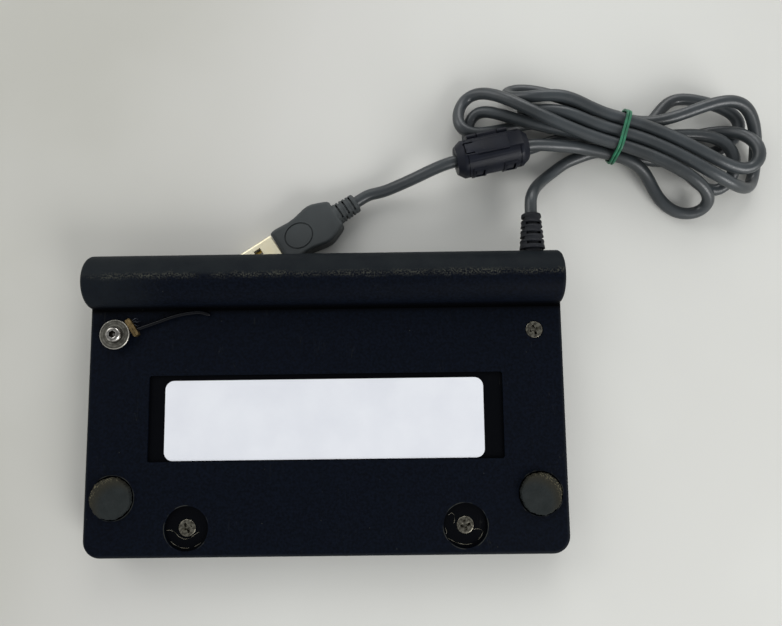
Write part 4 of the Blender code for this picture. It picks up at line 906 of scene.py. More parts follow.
def laid(place: Sequence[float], degrees: float = 0.0, axis: str = "Z") -> Matrix:
    """Matrix that lays a piece at a place, turned about one axis."""
    return Matrix.Translation(place) @ Matrix.Rotation(math.radians(degrees), 4, axis)


@dataclass
class Viewpoint:
    """Camera of the photograph, fitted to the pad's corners and feet."""

    place: Place = (0.0225, 0.0060, 0.2113)
    tilt: float = 6.31
    roll: float = 0.45
    heading: float = -0.74
    focal_pixels: float = 620.0
    sensor_mm: float = 36.0

    def build(self) -> None:
        """Add the camera and make it the scene's."""
        lens = bpy.data.cameras.new("photo_camera")
        lens.sensor_width = self.sensor_mm
        lens.lens = self.focal_pixels / PICTURE[0] * self.sensor_mm
        lens.clip_start = 0.01
        camera = bpy.data.objects.new("photo_camera", lens)
        bpy.context.scene.collection.objects.link(camera)
        turn = laid((0, 0, 0), self.roll, "Y") @ laid((0, 0, 0), self.tilt, "X")
        camera.matrix_world = laid(self.place, self.heading) @ turn
        bpy.context.scene.camera = camera


@dataclass
class Surround:
    """Pale table, a world that is pale low down and greyer overhead, and three wide weak lamps."""

    cloud_mm: float = 90.0
    # colours of the table, darker to the left and paler to the right: painted light falling off across the
    # table
    table_stops: tuple[tuple[float, str], ...] = ((0.0, "#b6b5ad"), (0.5, "#c9c8c3"), (1.0, "#d2d2cd"))
    world_stops: tuple[tuple[float, str], ...] = (
        (0.0, "#e6e7e6"),
        (0.35, "#dcdddd"),
        (0.75, "#acaeb0"),
        (1.0, "#97999b"),
    )
    world_strength: float = 1.12
    aim: Place = (0.02, 0.02, 0.0)
    lamps: tuple[tuple[str, Place, float, float], ...] = (
        ("window_light", (-0.70, 0.55, 0.60), 0.70, 2.5),
        ("fill_light", (0.65, -0.65, 0.55), 0.60, 6.4),
        ("rear_light", (0.15, 0.85, 0.50), 0.60, 2.6),
    )

    def table(self) -> None:
        """Add the table top, matt laminate with slow clouds, painted darker to the left and paler to the
        right as painted light.
        """
        Bench.clear()
        bpy.ops.mesh.primitive_grid_add(x_subdivisions=2, y_subdivisions=2, size=4, location=(0, 0, -0.0001))
        top = bpy.context.object
        top.name = "table_top"
        Bench.lay(top)
        made, tree, place = new_material("matt_white_laminate_table")
        x, y, _ = node(tree, "SeparateXYZ", (place,)).node.outputs
        # painted light: darker to the left and rear, paler to the right and front
        painted_light_slope = node(tree, "Math", (y, -0.35, x), operation="MULTIPLY_ADD")
        pale = node(tree, "MapRange", (painted_light_slope, -0.13, 0.03, 0, 1), **SMOOTH)
        colour = node(tree, "ValToRGB", (pale,), stops=self.table_stops)
        cloud = node(tree, "TexNoise", {"Vector": place, "Scale": 1 / (self.cloud_mm * MM), "Detail": 3})
        share = node(tree, "MapRange", (cloud, 0.35, 0.65, 0, 0.35), **SMOOTH)
        colour = layered(tree, colour, [(self.table_stops[1][1], [share])])
        join(tree, tree.nodes["Principled BSDF"], {"Base Color": colour, "Roughness": 0.7})
        top.data.materials.append(made)

    def world(self) -> None:
        """Set a plain world that is pale at the horizon and greyer overhead."""
        world = bpy.data.worlds.new("studio_world")
        world.use_nodes = True
        tree = world.node_tree
        heading = node(tree, "TexCoord", out="Generated")
        up = node(tree, "SeparateXYZ", (heading,), "Z")
        colour = node(tree, "ValToRGB", (up,), stops=self.world_stops)
        join(tree, tree.nodes["Background"], {"Color": colour, "Strength": self.world_strength})
        bpy.context.scene.world = world

    def light(self) -> None:
        """Hang the lamps round the pad, each aimed at its middle."""
        for name, place, size, power in self.lamps:
            lamp = bpy.data.lights.new(name, "AREA")
            lamp.shape = "DISK"
            lamp.size = size
            lamp.energy = power
            hung = bpy.data.objects.new(name, lamp)
            bpy.context.scene.collection.objects.link(hung)
            hung.location = place
            hung.rotation_euler = (Vector(self.aim) - Vector(place)).to_track_quat("-Z", "Y").to_euler()

    def build(self) -> None:
        """Add the table, world and lamps."""
        self.table()
        self.world()
        self.light()


def smooth_route(
    knots: Sequence[Vector], lean: float, step: float, start: Vector, end: Vector
) -> list[Vector]:
    """Draw a smooth line through the knots of a route.

    Args:
        knots: Places that the line goes through.
        lean: Length that the two end headings act over.
        step: Spacing of the points that are returned.
        start: Heading at the first knot.
        end: Heading at the last knot.

    Returns:
        Points of the line, both ends included.
    """
    padded = [knots[0] - start * lean, *knots, knots[-1] + end * lean]
    found: list[Vector] = []
    for before, a, b, after in zip(padded, padded[1:], padded[2:], padded[3:]):
        spans = [math.sqrt((q - p).length) for p, q in ((before, a), (a, b), (b, after))]
        leave = (a - before) / spans[0] - (b - before) / (spans[0] + spans[1]) + (b - a) / spans[1]
        arrive = (b - a) / spans[1] - (after - a) / (spans[1] + spans[2]) + (after - b) / spans[2]
        count = max(1, round((b - a).length / step))
        for i in range(count):
            t = i / count
            bend = (t**3 - 2 * t**2 + t) * leave + (t**3 - t**2) * arrive
            found.append((2 * t**3 - 3 * t**2 + 1) * a + (3 * t**2 - 2 * t**3) * b + bend * spans[1])
    found.append(knots[-1].copy())
    return found


def even_route(points: Sequence[Vector], step: float, radius: float, passes: int) -> list[Vector]:
    """Space the points of a route evenly and ease its kinks.

    Args:
        points: Points of the route.
        step: Spacing wanted.
        radius: Bends tighter than this are eased.
        passes: How often each point of a tight bend is drawn towards its neighbours.

    Returns:
        The new points, both ends where they were.
    """
    reach = [0.0]
    for before, after in zip(points, points[1:]):
        reach.append(reach[-1] + (after - before).length)
    count = round(reach[-1] / step)
    found, i = [], 0
    for k in range(count + 1):
        along = reach[-1] * k / count
        while i < len(points) - 2 and reach[i + 1] < along:
            i += 1
        share = (along - reach[i]) / (reach[i + 1] - reach[i])
        found.append(points[i].lerp(points[i + 1], min(share, 1.0)))
    sharp = step**2 / (2 * radius)
    for i in range(passes):
        eased = []
        for a, b, c in zip(found, found[1:], found[2:]):
            pull = (a + c) / 2 - b
            eased.append(b + pull / 2 if i < 4 or pull.length > sharp else b)
        found = [found[0], *eased, found[-1]]
    return found


@dataclass(frozen=True)
class Lobe:
    """One fold of the hank, out from the waist and back, as sine waves."""

    side: int
    first: str
    last: str
    reach: float
    skew: float
    swings: tuple[float, ...]
    rises: tuple[float, ...]


LOBES = (
    Lobe(
        1, "low_front", "low_rear", 0.032, 0.014,
        (0.024, -0.0045, 0.002, -0.002), (-0.0015, 0, -0.0015, 0),
    ),
    Lobe(
        -1, "low_rear", "top_middle", 0.030, 0.0065,
        (-0.0005, 0, 0.0015, 0.0005), (-0.0005, -0.003, -0.0005, 0),
    ),
    Lobe(
        1, "top_middle", "mid_rear", 0.047, 0.0025,
        (0.0045, -0.016, 0.0035, -0.002), (-0.0015, -0.002, 0.0055, 0.0005),
    ),
    Lobe(
        -1, "mid_rear", "top_rear", 0.036, 0.008,
        (0.001, 0.0015, 0.0035, 0.0005), (-0.0025, -0.005, -0.001, 0),
    ),
    Lobe(
        1, "top_rear", "low_middle", 0.0435, 0,
        (0.0045, -0.012, 0.003, -0.0015), (0.003, 0.002, -0.0015, 0.0025),
    ),
    Lobe(
        -1, "low_middle", "mid_inner_front", 0.048, -0.0015,
        (-0.013, -0.0095, -0.0045, 0.0015), (-0.002, -0.002, 0.001, -0.001),
    ),
    Lobe(
        1, "mid_inner_front", "mid_inner_rear", 0.0385, -0.0035,
        (-0.0005, -0.008, 0.004, -0.001), (-0.003, -0.001, 0.001, 0.002),
    ),
    Lobe(
        -1, "mid_inner_rear", "top_front", 0.0525, -0.002,
        (-0.005, -0.0085, 0.001, 0.003), (-0.004, -0.003, 0, -0.004),
    ),
    Lobe(
        1, "top_front", "mid_front", 0.030, 0.008,
        (-0.0115, 0.001, 0, -0.001), (-0.0055, 0.004, 0.001, 0.0015),
    ),
)

SLOT_SHARES = {
    "low_front": (-1, 0),
    "low_middle": (0, 0),
    "low_rear": (1, 0),
    "mid_front": (-1.5, 1),
    "mid_inner_front": (-0.5, 1),
    "mid_inner_rear": (0.5, 1),
    "mid_rear": (1.5, 1),
    "top_front": (-1, 2),
    "top_middle": (0, 2),
    "top_rear": (1, 2),
}


@dataclass
class Cable:
    """The pad's one cable, from its boot through the tied hank and the clamp to the plug."""

    radius: float = 0.0020
    exit: Place = (0.0675, 0.0604, 0.0125)
    hank: Place = (0.0994, 0.0879, 0.0)
    hank_turn: float = -17.4
    pitch: float = 0.0045
    row: float = 0.00395
    waist_height: float = 0.0034
    waist_half: float = 0.0020
    entry: Place = (0.0080, 0.0042, 0.0010)
    outlet: Place = (0.0060, 0.0007, 0.0005)
    floor: float = 0.0021
    lean: float = 0.0030
    step: float = 0.0010
    passes: int = 60
    tightest: float = 0.0036
    lobe_steps: int = 66
    let_in: float = 0.0012
    joint_gap: float = 0.0003
    closest: float = 0.0002
    resolution: int = 7
    length: float = 0.0
    lead_route: tuple[Place, ...] = (
        (0.0691, 0.0683, 0.0101),
        (0.0722, 0.0724, 0.0056),
        (0.0766, 0.0764, 0.0026),
    )
    tail_route: tuple[Place, ...] = ((0.0790, 0.0840, 0.0098),)
    plug_route: tuple[Place, ...] = (
        (0.0365, 0.0768, 0.0098),
        (0.0300, 0.0745, 0.0074),
        (0.0240, 0.0725, 0.0053),
        (0.0185, 0.0707, 0.0042),
    )

    def hank_frame(self) -> Matrix:
        """Place and heading of the hank."""
        return laid(self.hank, self.hank_turn)

    def slot(self, name: str) -> Spot:
        """Sideways place and height of a strand at the waist."""
        column, row = SLOT_SHARES[name]
        return column * self.pitch, self.waist_height + row * self.row

    def lobe_points(self, lobe: Lobe) -> list[Vector]:
        """Middle line of one fold, in world places.

        Args:
            lobe: The fold.

        Returns:
            Its points, from waist to waist.
        """
        start, stop = self.slot(lobe.first), self.slot(lobe.last)
        hank = self.hank_frame()
        points = []
        for i in range(self.lobe_steps + 1):
            t = i / self.lobe_steps
            half = math.sin(math.pi * t)
            waves = [half * math.sin((k + 1) * math.pi * t) for k in range(4)]
            blend = (1 - math.cos(math.pi * t)) / 2
            along = lobe.side * (self.waist_half + lobe.reach * half + lobe.skew * waves[1])
            across = start[0] + (stop[0] - start[0]) * blend
            across += sum(size * wave for size, wave in zip(lobe.swings, waves))
            height = start[1] + (stop[1] - start[1]) * blend
            height += sum(size * wave for size, wave in zip(lobe.rises, waves))
            points.append(hank @ Vector((along, across, max(height, self.floor))))
        return points

    def hank_points(self) -> list[Vector]:
        """Middle line of the whole hank.

        Returns:
            The points.
        """
        hank = self.hank_frame()
        across, height = self.slot(LOBES[0].first)
        length, swing, drop = self.entry
        shares = [1 - i / 6 for i in range(7)]
        waist = -self.waist_half
        entry = [(waist - length * s, across - swing * s**1.5, height - drop * s) for s in shares]
        points = [hank @ Vector(place) for place in entry]
        for lobe in LOBES:
            points += self.lobe_points(lobe)
        across, height = self.slot(LOBES[-1].last)
        length, swing, rise = self.outlet
        outlet = [(waist - length * s, across - swing * s, height + rise * s) for s in shares[::-1]]
        return points + [hank @ Vector(place) for place in outlet]

    def lead_points(self, hank: Sequence[Vector]) -> list[Vector]:
        """Middle line from the boot to the hank.

        Args:
            hank: Points of the hank.

        Returns:
            The points.
        """
        heading = (hank[1] - hank[0]).normalized()
        last = hank[0] - heading * self.joint_gap
        before = last - heading * 2 * self.radius
        start = Vector(self.exit)
        rear = Vector((0, 1, 0))
        knots = [start + rear * 2 * self.radius, *map(Vector, self.lead_route), before]
        route = smooth_route(knots, self.lean, self.step, rear, heading)
        root = start - rear * (self.let_in + self.joint_gap)
        return [root, start, *(Vector((p.x, p.y, max(p.z, self.floor))) for p in route), last]

    def tail_points(
        self, hank: Sequence[Vector], clamp: Matrix, clamp_length: float, plug: Matrix, relief: float
    ) -> list[Vector]:
        """Middle line from the hank, through the clamp, to the plug's relief.

        Args:
            hank: Points of the hank.
            clamp: Place and heading of the clamp.
            clamp_length: Length of the clamp.
            plug: Place and heading of the plug.
            relief: Length of the plug's relief.

        Returns:
            The points.
        """
        heading = (hank[-1] - hank[-2]).normalized()
        first = hank[-1] + heading * self.joint_gap
        after = first + heading * 2 * self.radius
        through = [clamp @ Vector((clamp_length * s, 0, 0)) for s in (0.58, 0.3, 0, -0.3, -0.58)]
        out = plug.col[0].xyz.normalized()
        last = plug.translation + out * (relief + 2 * self.joint_gap)
        before = last + out * 2 * self.radius
        knots = [after, *map(Vector, self.tail_route), *through, *map(Vector, self.plug_route), before]
        return [first, *smooth_route(knots, self.lean, self.step, heading, -out), last - out * self.let_in]

    def build(self, clamp: "Clamp", plug: "Plug", finish: Material) -> Object:
        """Draw the whole cable and measure it.

        Args:
            clamp: The clamp that it goes through.
            plug: The plug that it ends in.
            finish: Its jacket.

        Returns:
            The cable as one curve.
        """
        hank = self.hank_points()
        tail = self.tail_points(hank, clamp.frame(), clamp.length, plug.frame(), plug.relief_length)
        points = self.lead_points(hank) + hank + tail
        kept = [points[0]]
        for point in points[1:]:
            if (point - kept[-1]).length > self.closest:
                kept.append(point)
        kept = even_route(kept, self.step, self.tightest, self.passes)
        cable = Bench.lines("cable_jacket", [kept], self.radius, self.resolution)
        self.length = sum((b - a).length for a, b in zip(kept, kept[1:]))
        return own(cable, finish, ["cable_lead", "cable_hank", "cable_tail"])


def arc(centre: Spot, radius: float, start: float, stop: float, steps: int) -> list[Spot]:
    """Points on an arc in a plane, both ends included, angles in degrees."""
    angles = [math.radians(start + (stop - start) * i / steps) for i in range(steps + 1)]
    return [(centre[0] + radius * math.cos(a), centre[1] + radius * math.sin(a)) for a in angles]


def rounded(middle: Spot, size: Spot, radius: float, steps: int) -> list[Spot]:
    """Outline of a rectangle with round corners.

    Args:
        middle: Its middle.
        size: Its whole width and height.
        radius: Radius of its corners.
        steps: Steps round a corner.

    Returns:
        Its points, from the lower left corner.
    """
    points: list[Spot] = []
    for start, across, up in ((180, -1, -1), (270, 1, -1), (0, 1, 1), (90, -1, 1)):
        x = middle[0] + across * (size[0] / 2 - radius)
        y = middle[1] + up * (size[1] / 2 - radius)
        points += arc((x, y), radius, start, start + 90, steps)
    return points


@dataclass
class Housing:
    """The pad's two covers: a flat underside with a round rear roll, and the face shell."""

    width: float = 0.1524
    depth: float = 0.0956
    thickness: float = 0.0122
    parting: float = 0.0098
    roll_radius: float = 0.0087
    roll_wall: float = 0.0020
    roll_end_round: float = 0.0014
    groove_ahead: float = 0.0008
    groove_behind: float = 0.0004
    groove_depth: float = 0.0006
    corner: float = 0.0055
    edge: float = 0.0012
    edge_soft: float = 0.00022
    wall: float = 0.0022
    face: float = 0.0024
    gap: float = 0.0003
    over: float = 0.002
    rest_radius: float = 0.0075
    rest_height: float = 0.0014
    rest_wall: float = 0.0020
    lip: float = 0.0082
    recess: tuple[float, ...] = (0.1130, 0.0272, -0.0048, 0.0009)
    recess_corner: float = 0.0008
    foot: Spot = (0.0673, -0.0293)
    bare: Spot = (0.0436, -0.0388)
    foot_radius: float = 0.0069
    foot_depth: float = 0.0010
    rear_screw: Spot = (0.0672, 0.0221)
    bore: float = 0.00155
    tether_bore: float = 0.0017
    seat_radius: float = 0.00295
    seat_depth: float = 0.0016
    seat_sink: float = 0.00015
    boss: float = 0.0029
    boot: Spot = (0.0675, 0.0125)
    boot_neck: float = 0.0033
    window: Place = (0.118, 0.042, -0.011)
    ledge: float = 0.003
    rebate: float = 0.0014

    @property
    def front_y(self) -> float:
        """Front edge."""
        return -self.depth / 2

    @property
    def rear_y(self) -> float:
        """Rear edge."""
        return self.depth / 2

    @property
    def roll_y(self) -> float:
        """Axis of the roll."""
        return self.rear_y - self.roll_radius

    def form(self, name: str, low: float, high: float) -> Object:
        """Model the outer form between two heights: the flat body and the round roll.

        Args:
            name: Name of the piece.
            low: Lower height.
            high: Upper height.

        Returns:
            The solid.
        """
        half, near = self.width / 2, 1e-5
        body = Bench.box(name, (-half, self.front_y, 0), (half, self.roll_y, self.thickness))

        def front_corner(a: Vector, b: Vector) -> bool:
            """Whether an upright edge stands at the front."""
            return abs(a.x - b.x) < near and abs(a.y - b.y) < near and a.y < self.front_y + near

        def long_edge(a: Vector, b: Vector) -> bool:
            """Whether a level edge lies off the roll."""
            return abs(a.z - b.z) < near and min(a.y, b.y) < self.roll_y - near

        Bench.round_edges(body, self.corner, 10, front_corner)
        Bench.round_edges(body, self.edge, 4, long_edge)
        roll = self.across(f"{name}_roll", self.roll_radius, half, self.thickness, 160)
        Bench.round_edges(roll, self.roll_end_round, 5, lambda a, b: abs(a.x - b.x) < near)
        Bench.combine(body, "UNION", [roll])
        far = half + self.over
        slab = Bench.box("slab", (-far, self.front_y - self.over, low), (far, self.rear_y + self.over, high))
        Bench.combine(body, "INTERSECT", [slab])
        return body

    def across(self, name: str, radius: float, half: float, height: float, sides: int) -> Object:
        """Add a cylinder that lies across the pad over the roll's axis."""
        return Bench.rod(name, radius, (-half, self.roll_y, height), (half, self.roll_y, height), sides)

    def screw_places(self) -> list[tuple[float, float, float, float]]:
        """Place the four case screws, the tether's last.

        Returns:
            Place, seat and bore of each.
        """
        seat = self.thickness - self.foot_depth
        return [
            (*self.rear_screw, self.thickness, self.bore),
            (-self.bare[0], self.bare[1], seat, self.bore),
            (*self.bare, seat, self.bore),
            (-self.rear_screw[0], self.rear_screw[1], self.thickness, self.tether_bore),
        ]

    def boot_hole(self) -> Object:
        """Cutter for the hole that the boot's neck sits in.

        Returns:
            The cutter.
        """
        x, z = self.boot
        start = (x, self.roll_y + self.roll_wall, z)
        return Bench.rod("boot_hole", self.boot_neck, start, (x, self.rear_y + self.over, z))

    def build_bottom(self, finish: Material) -> None:
        """Model the underside with its recesses, screw seats and the roll.

        Args:
            finish: Its material.
        """
        cover = self.form("underside_cover", self.parting, self.thickness + self.roll_radius + self.over)
        above, floor = self.thickness + self.over, self.thickness - self.foot_depth
        far, groove = self.width / 2 + self.over, self.roll_y - self.roll_radius
        hollow = (self.roll_radius - self.roll_wall, self.width / 2 - self.wall)
        low = (-far, groove - self.groove_ahead, self.thickness - self.groove_depth)
        high = (far, groove + self.groove_behind, self.thickness + self.groove_depth)
        cuts = [self.across("roll_hollow", *hollow, self.thickness, 96)]
        cuts += [Bench.box("roll_groove", low, high), self.boot_hole()]
        width, height, y, depth = self.recess
        low = (-width / 2, y - height / 2, self.thickness - depth)
        recess = Bench.box("label_recess", low, (width / 2, y + height / 2, above))
        Bench.round_edges(recess, self.recess_corner, 4, lambda a, b: abs(a.z - b.z) > 1e-4)
        cuts.append(recess)
        for x, y in (self.foot, self.bare):
            for at in (-x, x):
                cuts.append(Bench.rod("foot_recess", self.foot_radius, (at, y, floor), (at, y, above), 96))
        for x, y, seat, bore in self.screw_places():
            top = seat + self.over
            cuts.append(Bench.rod("screw_hole", bore, (x, y, self.parting - self.over), (x, y, top), 40))
            if bore == self.bore:
                mouth, root = (x, y, seat - self.seat_sink), (x, y, seat - self.seat_depth)
                cuts.append(Bench.rod("screw_seat", bore, root, (x, y, seat), 48, self.seat_radius))
                cuts.append(Bench.rod("screw_mouth", self.seat_radius, mouth, (x, y, top), 48))
        Bench.combine(cover, "DIFFERENCE", cuts)
        Bench.soften(cover, self.edge_soft, 2, 32)
        own(cover, finish, ["bottom_cover"])

    def window_box(self, name: str, border: float, low: float, high: float) -> Object:
        """Add a box over the window and a border round it.

        Args:
            name: Name of the piece.
            border: Width of the border.
            low: Lower height.
            high: Upper height.

        Returns:
            The box.
        """
        width, height, y = self.window
        across, up = width / 2 + border, height / 2 + border
        return Bench.box(name, (-across, y - up, low), (across, y + up, high))

    def build_top(self, finish: Material) -> None:
        """Model the face shell: its hollow, the pen rest and the window's opening.

        Args:
            finish: Its material.
        """
        top = self.parting - self.gap
        cover = self.form("face_cover", -self.over, top)
        half, far, inner = self.width / 2, self.width / 2 + self.over, self.width / 2 - self.wall
        rest, axis = self.rest_radius + self.rest_wall, self.rest_height
        low = (-inner, self.front_y + self.wall, self.face)
        hollow = Bench.box("hollow", low, (inner, self.roll_y, self.thickness + self.over))

        def front_corner(a: Vector, b: Vector) -> bool:
            """Whether an upright edge stands at the front."""
            return abs(a.z - b.z) > 1e-4 and a.y < self.front_y + self.corner

        Bench.round_edges(hollow, self.corner - self.wall, 6, front_corner)
        Bench.combine(hollow, "DIFFERENCE", [self.across("rest_outer", rest, far, axis, 128)])
        crown = self.across("rest_crown", rest, inner - self.gap, axis, 128)
        low = (-half, self.front_y, top - self.wall)
        slab = Bench.box("crown_slab", low, (half, self.rear_y, self.thickness))
        Bench.combine(crown, "INTERSECT", [slab])
        Bench.combine(cover, "DIFFERENCE", [hollow])
        Bench.combine(cover, "UNION", [crown])
        for x, y, _, _ in self.screw_places():
            boss = Bench.rod("boss", self.boss, (x, y, self.face / 2), (x, y, top), 32)
            Bench.combine(cover, "UNION", [boss])
        holes = [
            self.across("trough", self.rest_radius, far, axis, 128),
            Bench.box("mouth", (-far, self.roll_y, -self.over), (far, self.rear_y + self.over, self.lip)),
            self.boot_hole(),
            self.window_box("window_rebate", self.ledge, -self.over, self.rebate),
            self.window_box("window_opening", 0, -self.over, self.face + self.over),
        ]
        for x, y, _, bore in self.screw_places():
            holes.append(Bench.rod("bore", bore, (x, y, self.face), (x, y, self.thickness), 32))
        Bench.combine(cover, "DIFFERENCE", holes)
        Bench.soften(cover, self.edge_soft, 2, 32)
        own(cover, finish, ["top_cover"])


@dataclass
class Fasteners:
    """Case screws, and the tether's screw and washer."""

    head: float = 0.00265
    shaft: float = 0.00125
    length: float = 0.0075
    head_depth: float = 0.0013
    rim_drop: float = 0.0002
    rim_soft: float = 0.00015
    slot_width: float = 0.0008
    slot_depth: float = 0.0011
    slot_over: float = 0.0004
    arm_share: float = 0.62
    tip_share: float = 0.30
    turns: Place = (0.35, 0.5, 0.2)
    washer: float = 0.00475
    washer_bore: float = 0.0018
    washer_low: float = 0.0139
    washer_thick: float = 0.0007
    washer_edge: float = 0.0001
    head_gap: float = 0.0003
    pan: float = 0.0026
    pan_height: float = 0.0012
    pan_shaft: float = 0.0014
    crown_share: float = 0.62
    socket: float = 0.0012
    socket_depth: float = 0.0010
    drill_depth: float = 0.0014

    def cross(self, x: float, y: float, z: float, turn: float) -> list[Object]:
        """Cutters of a cross recess whose arms narrow towards the bottom.

        Args:
            x: Sideways place.
            y: Depthwise place.
            z: Height of the head's face.
            turn: Heading of the first arm, in radians.

        Returns:
            The two cutters.
        """
        arm, tip, half = self.head * self.arm_share, self.head * self.tip_share, self.slot_width / 2
        deep, over = -self.slot_depth, self.slot_over
        outline = [(-arm, over), (-arm, 0), (-tip, deep), (tip, deep), (arm, 0), (arm, over)]
        upright = laid((0, 0, 0), 90, "X")
        lays = [laid((x, y, z), math.degrees(turn) + quarter) @ upright for quarter in (0, 90)]
        return [Bench.plate("cross_arm", outline, -half, half, lay) for lay in lays]

    def case_screw(self, name: str, x: float, y: float, seat: float, turn: float) -> Object:
        """Model one countersunk cross-head screw with its head's face at the seat.

        Args:
            name: Name of the piece.
            x: Sideways place.
            y: Depthwise place.
            seat: Height of its face.
            turn: Heading of its cross, in radians.

        Returns:
            The screw.
        """
        profile = [
            (seat - self.length, 0),
            (seat - self.length, self.shaft),
            (seat - self.head_depth, self.shaft),
            (seat - self.rim_drop, self.head),
            (seat - self.rim_drop * 0.35, self.head - self.rim_drop * 0.1),
            (seat, self.head - self.rim_soft),
            (seat, self.head * 0.7),
            (seat, 0),
        ]
        screw = Bench.turned(name, profile, laid((x, y, 0)))
        Bench.combine(screw, "DIFFERENCE", self.cross(x, y, seat, turn))
        Bench.soften(screw, 0.00006, 2, 30)
        return screw

    def washer_disc(self, x: float, y: float) -> Object:
        """Model the tether's washer, its upper rim rounder than its lower one.

        Args:
            x: Sideways place.
            y: Depthwise place.

        Returns:
            The washer.
        """
        low, high, edge = self.washer_low, self.washer_low + self.washer_thick, self.washer_edge
        profile = [
            (low, self.washer_bore),
            (low, self.washer - 2 * edge),
            (low + edge, self.washer),
            (high - 1.8 * edge, self.washer),
            (high, self.washer - 2.2 * edge),
            (high, self.washer_bore + edge),
            (high - edge, self.washer_bore),
        ]
        washer = Bench.turned("tether_washer_disc", profile, laid((x, y, 0)), 96)
        Bench.soften(washer, 0.00005, 1, 30)
        return washer

    def button_screw(self, x: float, y: float, root: float) -> Object:
        """Model the tether's button-head screw with its hexagon socket.

        Args:
            x: Sideways place.
            y: Depthwise place.
            root: Height of the shaft's end.

        Returns:
            The screw.
        """
        head = self.washer_low + self.washer_thick + self.head_gap
        top, share = head + self.pan_height, self.crown_share
        dome = [
            (head + self.pan_height * math.sin(a), self.pan * (share + (1 - share) * math.cos(a)))
            for a in (math.radians(15 + 15 * i) for i in range(5))
        ]
        profile = [
            (root, 0),
            (root, self.pan_shaft),
            (head, self.pan_shaft),
            (head, self.pan - 0.0001),
            (head + 0.00012, self.pan),
            *dome,
            (top, self.pan * 0.60),
            (top, 0),
        ]
        screw = Bench.turned("tether_button_screw", profile, laid((x, y, 0)), 72)
        floor, tip = (x, y, top - self.socket_depth), (x, y, top - self.drill_depth)
        mouth = (x, y, top - self.socket_depth + 0.0001)
        socket = Bench.rod("socket", self.socket, floor, (x, y, top + 0.001), 6)
        drill = Bench.rod("drill", 0.0, tip, mouth, 24, self.socket * 0.8)
        Bench.combine(screw, "DIFFERENCE", [socket, drill])
        Bench.soften(screw, 0.00007, 2, 30)
        return screw

    def build(self, housing: Housing) -> None:
        """Model the three case screws, the tether's screw and its washer.

        Args:
            housing: The pad's covers.
        """
        # bright zinc gone dull and brown, so the heads look dark with glints in the cross
        zinc = Metal(
            "zinc_plated_screw_steel",
            "#7d7a6e",
            "#4f4c44",
            roughness=0.27,
            stain_mm=0.8,
            stained=(0.40, 0.58),
        ).build()
        names = ("case_screw_rear_right", "case_screw_front_left", "case_screw_front_right")
        *places, (x, y, _, _) = housing.screw_places()
        for name, (across, back, seat, _), turn in zip(names, places, self.turns):
            own(self.case_screw(f"{name}_cross_head", across, back, seat, turn), zinc, [name])
        # satin nickel; the bright line at its rim, which draws the washer's circle, is wear and a painted
        # highlight of the rounded edge
        nickel = FacedMetal(
            "punched_nickel_washer",
            "#77756d",
            "#4d4b45",
            roughness=0.42,
            stain_mm=1.5,
            centre=(x, y),
            rim=0.00455,
        ).build()
        # polished chrome, the brightest metal here, its socket painted black deep down as dirt and painted
        # shade
        chrome = FacedMetal(
            "polished_chromed_screw_steel",
            "#c6c3bd",
            "#75726d",
            roughness=0.22,
            scratch_mm=0.8,
            stain_mm=1.8,
            centre=(x, y),
            ring_mm=1.3,
            socket=(0.0014, 0.0161),
        ).build()
        own(self.washer_disc(x, y), nickel, ["tether_washer"])
        screw = self.button_screw(x, y, housing.thickness - self.length)
        own(screw, chrome, ["tether_screw"])


def draw_threads(
    name: str, middle: Sequence[float], thread: float, routes: Sequence[Sequence[Spot]]
) -> Object:
    """Model thin threads of uneven thickness that lie about a place.

    Args:
        name: Name of the piece.
        middle: Place that the routes are measured from.
        thread: Half the thickness of a thread.
        routes: Routes of the threads, in millimetres.

    Returns:
        The piece.
    """
    lines = []
    for route in routes:
        knots = [Vector(middle) + Vector((a * MM, b * MM, thread * 0.6)) for a, b in route]
        ends = [(knots[1] - knots[0]).normalized(), (knots[-1] - knots[-2]).normalized()]
        lines.append(smooth_route(knots, 0.0005, 0.0002, *ends))
    drawn = Bench.lines(name, lines, thread, 3)
    for spline in drawn.data.splines:
        for i, point in enumerate(spline.points):
            point.radius = 0.80 + 0.70 * math.sin(i * 0.35) * math.sin(i * 0.11)
    threads = Bench.as_mesh(drawn)
    Bench.shade(threads, 60)
    return threads


